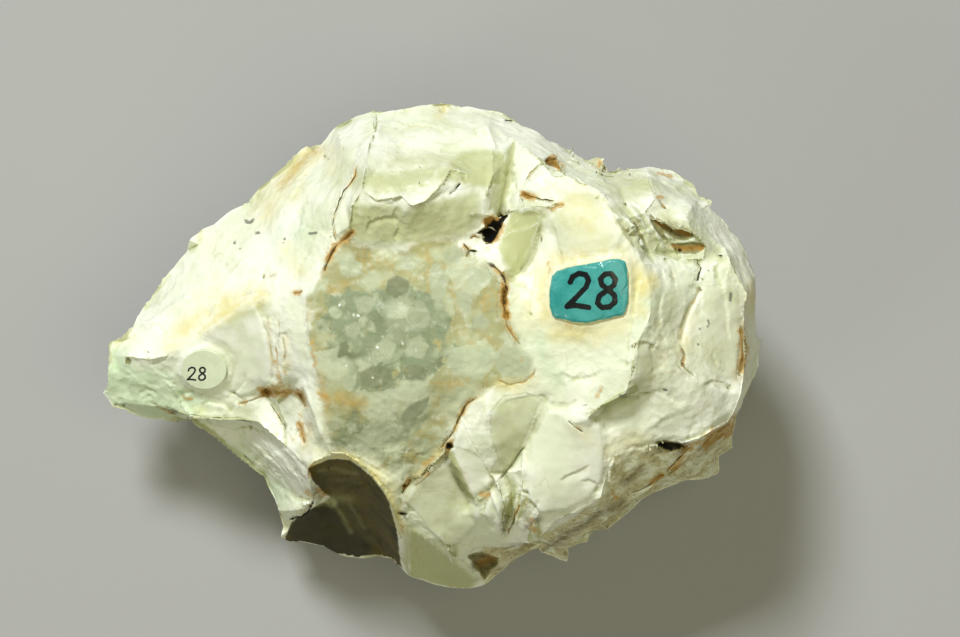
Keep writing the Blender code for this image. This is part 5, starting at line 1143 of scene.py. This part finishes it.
def stone_marks(surface):
    """Where each stain, crack, fragment and painted shade or light lies, as numbers at the points."""
    points = surface.points
    normals = surface.normals()
    plan = drifted_plan(points)
    across, dark, rust, halo = crack_marks(points, plan)
    face, calm = face_marks(plan)
    speck = np.zeros(len(points))
    for spot in SPECKS:
        speck = np.maximum(speck, 1 - np.hypot(*(plan - spot).T) / 0.45)
    above = {"crack_dark": dark, "pit": pit_mark(plan), "face_shade": face, "calm": calm, "speck": speck}
    for kind, rows in STAINS.items():
        above[kind] = {"rust": rust, "ochre": halo}.get(kind, np.zeros(len(points)))
        for strength, reach, way in rows:
            stain_beside(above[kind], plan, way, strength, reach)
    upper = ramp(normals[:, 2], -0.1, 0.15)
    marks = {name: value * upper for name, value in above.items()}
    sides = ramp(normals[:, 2], -0.45, -0.2)
    for name, (edge, outline) in AREAS.items():
        marks[name] = ramp(depth_inside(plan, outline, 3.0), -edge, edge) * sides
    marks["crack_across"] = across
    marks["clast_depth"], marks["clast_shade"] = fragment_marks(plan)
    marks["hollowed"] = surface.hollowed(normals)
    return marks


def make_stone():
    """The fine copy of the stone, with its marks and its finish."""
    form, surface = fine_copy("chert_body", stone_grain)
    shape_stone(surface, thickness(form))
    stone = piece_of(form, "chert_stone_fine", surface)
    finish_mesh(stone.data, stone_marks(surface), STONE_CRISP, chert_finish())
    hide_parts("chert_body")
    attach(stone, "root")


# ---------------------------------------------------------------- node tools


def tint(red, green, blue):
    """A colour from its 0 to 255 numbers, as the shader takes it."""
    parts = [c / 255 for c in (red, green, blue)]
    return tuple(c / 12.92 if c <= 0.04045 else ((c + 0.055) / 1.055) ** 2.4 for c in parts) + (1.0,)


class Bench:
    """Adds nodes to a tree and wires them."""

    def __init__(self, tree):
        self.tree = tree

    def node(self, kind, values=None, **settings):
        """A node with these settings, and with values or links on its inputs."""
        made = self.tree.nodes.new(kind)
        for name, value in settings.items():
            setattr(made, name, value)
        for name, value in (values or {}).items():
            self.feed(made.inputs[name], value)
        return made

    def feed(self, socket, value):
        """Links an input to a socket, or sets it to a plain value."""
        if isinstance(value, bpy.types.NodeSocket):
            self.tree.links.new(value, socket)
        else:
            socket.default_value = value

    def worked(self, operation, *values, clamp=False):
        """The result of a Math node."""
        made = self.node("ShaderNodeMath", operation=operation, use_clamp=clamp)
        for socket, value in zip(made.inputs, values):
            self.feed(socket, value)
        return made.outputs[0]

    def plus(self, first, second, clamp=False):
        return self.worked("ADD", first, second, clamp=clamp)

    def minus(self, first, second):
        return self.worked("SUBTRACT", first, second)

    def times(self, first, second):
        return self.worked("MULTIPLY", first, second)

    def band(self, value, low, high, bottom=0.0, top=1.0):
        """Bottom where the value is at low, top where it is at high, and a smooth change between."""
        made = self.node(
            "ShaderNodeMapRange",
            {"Value": value, "From Min": low, "From Max": high, "To Min": bottom, "To Max": top},
            interpolation_type="SMOOTHSTEP",
        )
        return made.outputs["Result"]

    def mix(self, share, first, second):
        """The first colour where the share is 0, and the second where it is 1."""
        return self.node("ShaderNodeMix", {0: share, 6: first, 7: second}, data_type="RGBA").outputs[2]

    def lay(self, colour, layer, value, low, high, most=1.0):
        """The colour under a layer that covers nothing at low and most at high."""
        return self.mix(self.band(value, low, high, 0.0, most), colour, layer)

    def mark(self, name):
        """A mark stored on the points."""
        return self.node("ShaderNodeAttribute", attribute_name=name).outputs["Fac"]

    def swung(self, noise, amount):
        """Noise that swings by this amount about 0."""
        return self.times(self.minus(noise, 0.5), amount)

    def frayed(self, name, noise, amount):
        """A mark with an uneven edge."""
        return self.plus(self.mark(name), self.swung(noise, amount))

    def noise(self, place, scale, detail=4.0, rough=0.55, warp=0.0):
        made = self.node(
            "ShaderNodeTexNoise",
            {"Vector": place, "Scale": scale, "Detail": detail, "Roughness": rough, "Distortion": warp},
        )
        return made.outputs["Fac"]

    def cells(self, place, scale, feature="F1", **values):
        """The outputs of a Voronoi texture."""
        values = {"Vector": place, "Scale": scale} | values
        return self.node("ShaderNodeTexVoronoi", values, feature=feature).outputs

    def group(self, name, values):
        """The output of one of the shared groups."""
        return self.node("ShaderNodeGroup", values, node_tree=bpy.data.node_groups[name]).outputs[0]

    def bump(self, height, strength, distance):
        values = {"Strength": strength, "Distance": distance, "Height": height}
        return self.node("ShaderNodeBump", values).outputs[0]

    def vector(self, operation, values):
        """The result of a Vector Math node."""
        return self.node("ShaderNodeVectorMath", values, operation=operation).outputs[0]

    def warped(self, place, scale, push):
        """The place, pushed about by noise, so that what is drawn on it has uneven edges."""
        noise = self.node("ShaderNodeTexNoise", {"Vector": place, "Scale": scale, "Detail": 3.0})
        way = self.vector("SUBTRACT", {0: noise.outputs["Color"], 1: (0.5, 0.5, 0.5)})
        way = self.vector("SCALE", {0: way, "Scale": push})
        return self.vector("ADD", {0: place, 1: way})


def new_group(name, inputs, output):
    """An empty node group with inputs by name and usual value, None for a place, and one output."""
    tree = bpy.data.node_groups.new(name, "ShaderNodeTree")
    for label, usual in inputs.items():
        kind = "NodeSocketVector" if usual is None else "NodeSocketFloat"
        socket = tree.interface.new_socket(label, in_out="INPUT", socket_type=kind)
        if usual is not None:
            socket.default_value = usual
    tree.interface.new_socket(output, in_out="OUTPUT", socket_type="NodeSocketFloat")
    bench = Bench(tree)
    return bench, bench.node("NodeGroupInput").outputs, bench.node("NodeGroupOutput").inputs[output]


def make_groups():
    """The effects that the stone and its labels share."""
    inputs = {"Place": None, "Scale": 100.0, "Contrast": 1.0}
    bench, given, made = new_group("mottling", inputs, "Value")
    coarse = bench.noise(given["Place"], given["Scale"], 3.0, 0.5, 0.4)
    fine = bench.noise(given["Place"], bench.times(given["Scale"], 4.3), 3.0, 0.6)
    both = bench.plus(bench.times(coarse, 0.7), bench.times(fine, 0.3))
    swing = bench.swung(both, bench.times(given["Contrast"], 3.0))
    bench.feed(made, bench.plus(swing, 0.5, clamp=True))

    inputs = {"Place": None, "Scale": 900.0, "Pits": 0.3}
    bench, given, made = new_group("fine_relief", inputs, "Height")
    grain = bench.noise(given["Place"], given["Scale"], 5.0, 0.6)
    cells = bench.cells(given["Place"], bench.times(given["Scale"], 0.8))
    pocks = bench.band(cells["Distance"], 0.0, 0.28, -1.0, 0.0)
    bench.feed(made, bench.plus(grain, bench.times(pocks, given["Pits"])))

    inputs = {"Place": None, "Distance": FAR, "Half Width": 0.3, "Raggedness": 0.1}
    bench, given, made = new_group("ink_marks", inputs, "Ink")
    ragged = bench.swung(bench.noise(given["Place"], 2600.0, 3.0), given["Raggedness"])
    gap = bench.minus(bench.plus(given["Distance"], ragged), given["Half Width"])
    bench.feed(made, bench.band(gap, -0.03, 0.03, 1.0, 0.0))


def new_finish(name):
    """A material with its Principled shader's inputs, its bench and the place on the object."""
    material = bpy.data.materials.new(name)
    material.use_nodes = True
    bench = Bench(material.node_tree)
    shader = material.node_tree.nodes["Principled BSDF"]
    place = bench.node("ShaderNodeTexCoord").outputs["Object"]
    return material, bench, shader.inputs, place


# ---------------------------------------------------------------- the stone's finish

CREAM = tint(239, 241, 223)
GREEN_CREAM = tint(229, 234, 206)
GREY_CREAM = tint(208, 212, 176)
# Pale bruises, and painted highlight on the ridges
BRUISE_AND_RIDGE_HIGHLIGHT = tint(240, 247, 233)
# Colours of painted shade; SHADED also colours the grey hairlines
SHADED = tint(190, 194, 142)
DEEP_SHADE = tint(158, 161, 110)
LEMON = tint(226, 214, 142)
OCHRE = tint(186, 160, 88)
GOLDEN = tint(200, 164, 92)
MINT = tint(200, 218, 182)
POCKET = tint(134, 130, 82)
RUST = tint(160, 118, 44)
DARK_RUST = tint(60, 40, 12)
BLACK = tint(13, 10, 5)
UMBER = tint(70, 56, 20)
WINDOW_EDGE = tint(170, 171, 126)
WINDOW_TAN = tint(156, 148, 96)
WINDOW_CORE = tint(140, 151, 118)
WINDOW_DARK = tint(106, 112, 78)
BIT_PALE = tint(194, 202, 170)
FLECK = tint(120, 124, 106)
RIND_GREY = tint(228, 230, 196)
RIND_BROWN = tint(196, 186, 136)
GLINT = tint(246, 248, 240)
# Painted shade of the deep hollow, over partly darker stone
OLIVE = tint(96, 84, 22)
DARK_OLIVE = tint(50, 44, 8)
DEEP_OLIVE = tint(24, 22, 5)

# The bits in the window: cells in a metre, smallest and largest radius in a cell, and strength
BITS = ((125.0, 0.2, 0.62, 0.85), (230.0, 0.1, 0.6, 0.8), (430.0, 0.1, 0.55, 0.7), (850.0, 0.0, 0.5, 0.5))

# How much rougher each mark makes the stone
ROUGHER = {"rust": 0.3, "cortex": 0.3, "pit": 1.0, "hollow": 0.4, "varnish": -0.28, "window": -0.1}


def bits(bench, place, scale, smallest, largest):
    """Rounded bits of uneven size: where they are, and two numbers that differ from bit to bit."""
    cells = bench.cells(place, scale)
    own = bench.node("ShaderNodeSeparateColor", {0: cells["Color"]}).outputs
    radius = bench.band(own[0], 0.0, 1.0, smallest, largest)
    return bench.band(bench.minus(radius, cells["Distance"]), -0.2, 0.2), own[1], own[2]


def veins(bench, place, scale, width, share):
    """Thin wandering lines that come and go."""
    edges = bench.cells(place, scale, "DISTANCE_TO_EDGE")
    here = bench.band(bench.noise(place, scale * 0.5, 2.0), share, share + 0.12)
    return bench.times(bench.band(edges["Distance"], 0.0, width, 1.0, 0.0), here)


def plain_chert(bench, place, broad, middle):
    """Cream chert with mottling, painted shade on faces and in creases, pale bruises with painted ridge
    highlights, and hairlines.
    """
    colour = bench.mix(bench.band(broad, 0.3, 0.75), CREAM, GREEN_CREAM)
    colour = bench.lay(colour, GREY_CREAM, middle, 0.55, 0.9, 0.35)
    colour = bench.lay(colour, BRUISE_AND_RIDGE_HIGHLIGHT, bench.noise(place, 75.0, 3.0, 0.5, 0.5), 0.5, 0.62, 0.25)
    # Painted shade from the shade marks
    colour = bench.lay(colour, SHADED, bench.frayed("shade", middle, 0.3), 0.1, 0.9, 0.7)
    # Painted shade on the single broken faces, darker on those that face away from the light
    face = bench.frayed("face_shade", middle, 0.2)
    colour = bench.lay(colour, SHADED, face, 0.05, 0.95)
    colour = bench.lay(colour, DEEP_SHADE, face, 0.95, 1.9)
    hollowed = bench.mark("hollowed")
    # Painted shade: creases and hollows are darkened
    colour = bench.lay(colour, SHADED, hollowed, 0.1, 0.8, 0.55)
    colour = bench.lay(colour, POCKET, hollowed, 0.6, 1.3, 0.6)
    # Painted highlight: the ridges are lightened, besides the pale bruising of the chert
    colour = bench.lay(colour, BRUISE_AND_RIDGE_HIGHLIGHT, hollowed, -0.15, -0.7, 0.65)
    pushed = bench.warped(place, 160.0, 0.006)
    hairs = bench.times(veins(bench, pushed, 105.0, 0.022, 0.5), bench.band(broad, 0.3, 0.6, 0.0, 0.28))
    colour = bench.mix(hairs, colour, OCHRE)
    hairs = bench.times(veins(bench, pushed, 210.0, 0.03, 0.5), bench.band(broad, 0.65, 0.35, 0.0, 0.4))
    return bench.mix(hairs, colour, SHADED)


def window_colour(bench, place):
    """The broken and healed chert of the window: a grey heart with pale bits, in tan and cream."""
    pushed = bench.warped(place, 420.0, 0.0026)
    uneven = bench.swung(bench.noise(place, 300.0, 3.0), 3.4)
    heart = bench.band(bench.plus(bench.mark("core"), uneven), 0.3, 0.75)
    low = bench.band(bench.plus(bench.mark("core_low"), uneven), 0.35, 0.8, 0.0, 0.8)
    heart = bench.worked("MAXIMUM", heart, low)
    tan = bench.noise(place, 150.0, 3.0, 0.55, 0.6)
    colour = bench.lay(WINDOW_EDGE, WINDOW_TAN, tan, 0.45, 0.7, 0.75)
    colour = bench.mix(bench.times(veins(bench, pushed, 190.0, 0.05, 0.42), 0.5), colour, OCHRE)
    colour = bench.mix(heart, colour, WINDOW_CORE)
    for scale, smallest, largest, share in BITS:
        here, pale, dark = bits(bench, pushed, scale, smallest, largest)
        colour = bench.mix(bench.times(here, bench.band(pale, 0.4, 0.8, 0.0, share)), colour, BIT_PALE)
        strength = bench.times(here, bench.band(dark, 0.72, 0.9, 0.0, share * 0.7))
        colour = bench.mix(bench.times(strength, heart), colour, WINDOW_DARK)
    edge = bench.plus(bench.mark("clast_depth"), bench.times(uneven, 0.6))
    own = bench.mix(bench.mark("clast_shade"), WINDOW_DARK, BIT_PALE)
    colour = bench.lay(colour, own, edge, -0.1, 0.4, 0.85)
    thin = bench.times(veins(bench, pushed, 520.0, 0.05, 0.5), bench.times(heart, 0.5))
    return bench.mix(thin, colour, WINDOW_DARK)


def rind_colour(bench, place):
    """The brown and grey rind, in blotches and grains."""
    blotches = bench.noise(place, 260.0, 5.0, 0.7, 0.6)
    grains = bench.noise(place, 1300.0, 4.0, 0.7)
    colour = bench.mix(bench.band(blotches, 0.4, 0.58), RIND_GREY, RIND_BROWN)
    colour = bench.lay(colour, POCKET, grains, 0.54, 0.66, 0.6)
    colour = bench.lay(colour, UMBER, bench.times(grains, blotches), 0.3, 0.38, 0.5)
    return bench.lay(colour, CREAM, blotches, 0.46, 0.38, 0.8)


def stained(bench, place, colour, middle, fine, ragged):
    """The colour with its mint tip, lemon and ochre stains, flecks, rind, brown earth with some painted
    shadow, and rust.
    """
    colour = bench.lay(colour, MINT, bench.frayed("mint", middle, 0.4), 0.1, 0.8, 0.9)
    lemon = bench.times(bench.mark("lemon"), bench.band(middle, 0.1, 0.7, 0.35, 1.0))
    colour = bench.mix(lemon, colour, LEMON)
    colour = bench.lay(colour, OCHRE, bench.frayed("ochre", ragged, 0.9), 0.2, 1.0, 0.7)
    colour = bench.lay(colour, FLECK, bench.frayed("fleck", fine, 0.8), 0.25, 0.6, 0.9)
    rind = rind_colour(bench, place)
    colour = bench.lay(colour, rind, bench.frayed("cortex", ragged, 0.7), 0.35, 0.7, 0.85)
    # Brown earth, and painted shadow from some of the brown marks
    colour = bench.lay(colour, UMBER, bench.frayed("brown", ragged, 0.9), 0.2, 0.9, 0.9)
    bare = bench.band(bench.noise(place, 260.0, 2.0), 0.35, 0.6, 0.35, 0.0)
    rusty = bench.minus(bench.frayed("rust", ragged, 1.3), bare)
    colour = bench.lay(colour, GOLDEN, rusty, 0.1, 0.45, 0.75)
    colour = bench.lay(colour, RUST, rusty, 0.45, 0.9, 0.85)
    return bench.lay(colour, DARK_RUST, rusty, 0.9, 1.2, 0.8)


def hollow_painted_shade(bench, middle, ragged):
    """The olive dark of the deep hollow: painted shade over partly darker stone, with a deeper painted
    shadow and painted light on its ribs.
    """
    colour = bench.mix(middle, DARK_OLIVE, OLIVE)
    colour = bench.lay(colour, DEEP_OLIVE, bench.frayed("hollow_deep_shadow", ragged, 0.4), 0.1, 0.9, 0.8)
    # Painted light on the ribs of the hollow
    return bench.lay(colour, SHADED, bench.mark("glimmer"), 0.1, 0.9, 0.75)


def crack_line(bench, fine):
    """How dark the cracks are."""
    across = bench.worked("ABSOLUTE", bench.mark("crack_across"))
    line = bench.band(bench.plus(across, bench.times(fine, 0.8)), 0.7, 1.7, 1.0, 0.0)
    return bench.times(line, bench.mark("crack_dark"))


def pitted(bench, colour, ragged):
    """The colour with its pits in painted shade, rusty where rust lies over them, and painted black shadow
    where they are deep.
    """
    pit = bench.frayed("pit", ragged, 0.4)
    pocket = bench.lay(POCKET, RUST, bench.mark("rust"), 0.1, 0.5, 0.85)
    # Painted shade in the pits
    colour = bench.lay(colour, pocket, pit, 0.05, 0.3, 0.9)
    colour = bench.lay(colour, UMBER, pit, 0.45, 0.65, 0.9)
    return bench.lay(colour, BLACK, pit, 0.6, 0.75)


def chert_relief(bench, place, line):
    """Grains, chips and flakes, which are weaker on calm faces, and the sunken cracks."""
    grains = bench.group("fine_relief", {"Place": place, "Scale": 900.0, "Pits": 0.25})
    chipped = bench.warped(place, 300.0, 0.0018)
    chips = bench.cells(chipped, 620.0, "SMOOTH_F1", Smoothness=0.2)["Distance"]
    flakes = bench.cells(chipped, 270.0)["Distance"]
    height = bench.plus(bench.times(grains, 0.4), bench.times(chips, 0.8))
    height = bench.plus(height, bench.times(flakes, 1.1))
    height = bench.times(height, bench.band(bench.mark("calm"), 0.2, 0.9, 1.0, 0.3))
    return bench.minus(height, bench.times(line, 0.8))


def chert_finish():
    """The whole finish of the stone."""
    material, bench, shader, place = new_finish("pale_chert")
    broad = bench.group("mottling", {"Place": place, "Scale": 45.0, "Contrast": 1.2})
    middle = bench.group("mottling", {"Place": place, "Scale": 160.0, "Contrast": 1.0})
    fine = bench.noise(place, 1500.0, 4.0, 0.6)
    ragged = bench.noise(place, 700.0, 5.0, 0.65, 0.3)
    colour = plain_chert(bench, place, broad, middle)
    window = bench.frayed("window", bench.noise(place, 380.0, 5.0, 0.65), 1.6)
    colour = bench.lay(colour, window_colour(bench, place), window, 0.25, 0.95)
    colour = stained(bench, place, colour, middle, fine, ragged)
    # Painted shade in the deep hollow
    hollow = bench.frayed("hollow", ragged, 0.5)
    colour = bench.lay(colour, hollow_painted_shade(bench, middle, ragged), hollow, 0.3, 0.7, 0.95)
    line = crack_line(bench, fine)
    colour = pitted(bench, bench.mix(line, colour, BLACK), ragged)
    # Painted glints on the specks
    colour = bench.lay(colour, GLINT, bench.mark("speck"), 0.2, 0.6)
    bench.feed(shader["Base Color"], bench.mix(bench.times(bench.mark("varnish"), 0.3), colour, LEMON))
    rough = bench.band(fine, 0.3, 0.7, 0.44, 0.6)
    for name, more in ROUGHER.items():
        rough = bench.plus(rough, bench.times(bench.mark(name), more))
    bench.feed(shader["Roughness"], bench.plus(rough, 0.0, clamp=True))
    bench.feed(shader["Normal"], bench.bump(chert_relief(bench, place, line), 0.6, 0.0003))
    shader["Specular IOR Level"].default_value = 0.25
    return material


# ---------------------------------------------------------------- labels

PAPER = tint(230, 239, 210)
PAPER_FIBRE = tint(216, 227, 192)
PAPER_INK = tint(20, 20, 22)
TEAL = tint(48, 142, 136)
PALE_TEAL = tint(76, 168, 160)
ENAMEL_INK = tint(14, 20, 22)

# The figures: the width of a box one high, and the strokes in it
FIGURES = {
    "2": (0.7, [[(0.02, 0.74), (0.08, 0.9), (0.25, 1.0), (0.46, 0.96), (0.56, 0.8), (0.5, 0.6),
        (0.32, 0.38), (0.12, 0.16), (0.0, 0.03), (0.2, 0.06), (0.42, 0.04), (0.64, 0.0)]]),
    "8": (0.72, [[(0.52, 0.84), (0.38, 0.99), (0.2, 0.98), (0.08, 0.84), (0.14, 0.66), (0.34, 0.52),
        (0.54, 0.36), (0.58, 0.16), (0.42, 0.01), (0.2, 0.0), (0.06, 0.14), (0.1, 0.34), (0.3, 0.5),
        (0.5, 0.66), (0.52, 0.84)]]),
}


def figure_ways(figures, corner, height, slant, gap):
    """The strokes of the figures on the plan, from their lower left corner."""
    left = corner[0]
    for figure in figures:
        width, strokes = FIGURES[figure]
        for stroke in strokes:
            yield [(left + (x + slant * y) * height, corner[1] + y * height) for x, y in stroke]
        left += (width + gap) * height


def ink_distance(plan, ways):
    """How far each point of the plan is from the middle of the nearest stroke."""
    distance = np.full(len(plan), FAR)
    for way in ways:
        near, gap, _, _ = beside(plan, way, 2.5)
        distance[near] = np.minimum(distance[near], gap)
    return distance


def ink(bench, place, half_width, raggedness):
    """Where the ink of the number lies."""
    values = {"Place": place, "Distance": bench.mark("ink"), "Half Width": half_width}
    return bench.group("ink_marks", values | {"Raggedness": raggedness})


def paper_finish():
    """Matt fibrous paper with a pen-written number."""
    material, bench, shader, place = new_finish("number_paper")
    fibre = bench.group("mottling", {"Place": place, "Scale": 700.0, "Contrast": 1.0})
    colour = bench.mix(fibre, PAPER, PAPER_FIBRE)
    bench.feed(shader["Base Color"], bench.mix(ink(bench, place, 0.17, 0.07), colour, PAPER_INK))
    bench.feed(shader["Roughness"], bench.band(fibre, 0.2, 0.8, 0.62, 0.8))
    relief = bench.group("fine_relief", {"Place": place, "Scale": 2500.0, "Pits": 0.1})
    bench.feed(shader["Normal"], bench.bump(relief, 0.25, 0.00004))
    return material


def enamel_finish():
    """Glossy streaked enamel with a brushed number and a thin frayed edge."""
    material, bench, shader, place = new_finish("teal_enamel_paint")
    streak = bench.group("mottling", {"Place": place, "Scale": 260.0, "Contrast": 1.1})
    colour = bench.mix(streak, TEAL, PALE_TEAL)
    colour = bench.mix(ink(bench, place, 0.5, 0.28), colour, ENAMEL_INK)
    edge = bench.frayed("inset", bench.noise(place, 480.0, 4.0, 0.6), 0.9)
    colour = bench.mix(bench.band(edge, 0.02, 0.1, 1.0, 0.0), colour, LEMON)
    bench.feed(shader["Base Color"], colour)
    bench.feed(shader["Roughness"], bench.band(streak, 0.2, 0.8, 0.2, 0.34))
    shader["Coat Weight"].default_value = 0.6
    shader["Coat Roughness"].default_value = 0.08
    brush = bench.group("fine_relief", {"Place": place, "Scale": 500.0, "Pits": 0.0})
    bench.feed(shader["Normal"], bench.bump(brush, 0.3, 0.0001))
    return material


def make_label(node, name, grain, finish, rounds, ways):
    """A fine copy of a label, with the strokes of its number as a mark."""
    form, surface = fine_copy(node, lambda _, normals: np.where(normals[:, 2] > 0.2, grain, grain * 2.5))
    surface.even_out(rounds)
    piece = piece_of(form, name, surface)
    plan = plan_of(surface.points)
    marks = {"ink": ink_distance(plan, ways), "inset": depth_inside(plan, outline_of(node), 2.0)}
    finish_mesh(piece.data, marks, LABEL_CRISP, finish)
    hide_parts(node)
    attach(piece, "root")


def make_labels():
    """The paper disc and the enamel patch, each with its number."""
    make_label(
        "paper_disc", "paper_number_disc", PAPER_GRAIN, paper_finish(), 3,
        list(figure_ways("28", (-53.2, -11.2), 2.3, 0.08, 0.12)),
    )
    make_label(
        "enamel_patch", "enamel_number_patch", ENAMEL_GRAIN, enamel_finish(), 1,
        list(figure_ways("28", (15.8, 2.0), 6.2, 0.1, 0.12)),
    )


# ---------------------------------------------------------------- the studio, in metres

AIM = (0.0, 0.0, 0.03)
FLOOR_HALF = 1.6
FLOOR_TONES = ((0.36, 0.36, 0.35, 1), (0.39, 0.39, 0.38, 1))
SKY = (1, 0.95, 0.72, 1)
SKY_STRENGTH = 0.14
SENSOR = 36

# Lights: place, size, power and colour
LIGHTS = {
    "key": ((-0.42, 1.08, 1.32), 0.4, 32, (0.95, 0.97, 1)),
    "fill": ((0.5, -0.3, 1.5), 1.4, 7, (1, 0.98, 0.66)),
    "side": ((-1.0, -0.75, 0.8), 0.5, 3.4, (1, 1, 0.9)),
}


def make_floor():
    """A plain floor under the specimen."""
    form = bmesh.new()
    bmesh.ops.create_grid(form, x_segments=8, y_segments=8, size=FLOOR_HALF)
    mesh = bpy.data.meshes.new("studio_floor")
    form.to_mesh(mesh)
    form.free()
    floor = placed("studio_floor", mesh)
    material, bench, shader, place = new_finish("pale_floor")
    bench.feed(shader["Base Color"], bench.mix(bench.noise(place, 3.0, 2.0), *FLOOR_TONES))
    shader["Roughness"].default_value = 0.85
    mesh.materials.append(material)


def make_lights():
    """The lamps, which face the specimen, and a dim sky."""
    for name, (place, size, power, colour) in LIGHTS.items():
        lamp = bpy.data.lights.new(name, "AREA")
        lamp.energy = power
        lamp.size = size
        lamp.color = colour
        holder = placed(name, lamp)
        holder.location = place
        holder.rotation_euler = (Vector(AIM) - Vector(place)).to_track_quat("-Z", "Y").to_euler()
    world = bpy.data.worlds.new("studio")
    world.use_nodes = True
    sky = world.node_tree.nodes["Background"].inputs
    sky[0].default_value = SKY
    sky[1].default_value = SKY_STRENGTH
    bpy.context.scene.world = world


def make_camera():
    """A camera at the sight point, looking straight down."""
    lens = bpy.data.cameras.new("camera")
    lens.sensor_width = SENSOR
    lens.lens = SENSOR * (SIGHT[2] - PLAN_HEIGHT) / VIEW_WIDTH
    holder = placed("camera", lens)
    holder.location = [part * MM for part in SIGHT]
    bpy.context.scene.camera = holder
    bpy.context.scene.view_settings.view_transform = "Standard"


make_groups()
make_stone()
make_labels()
make_floor()
make_lights()
make_camera()
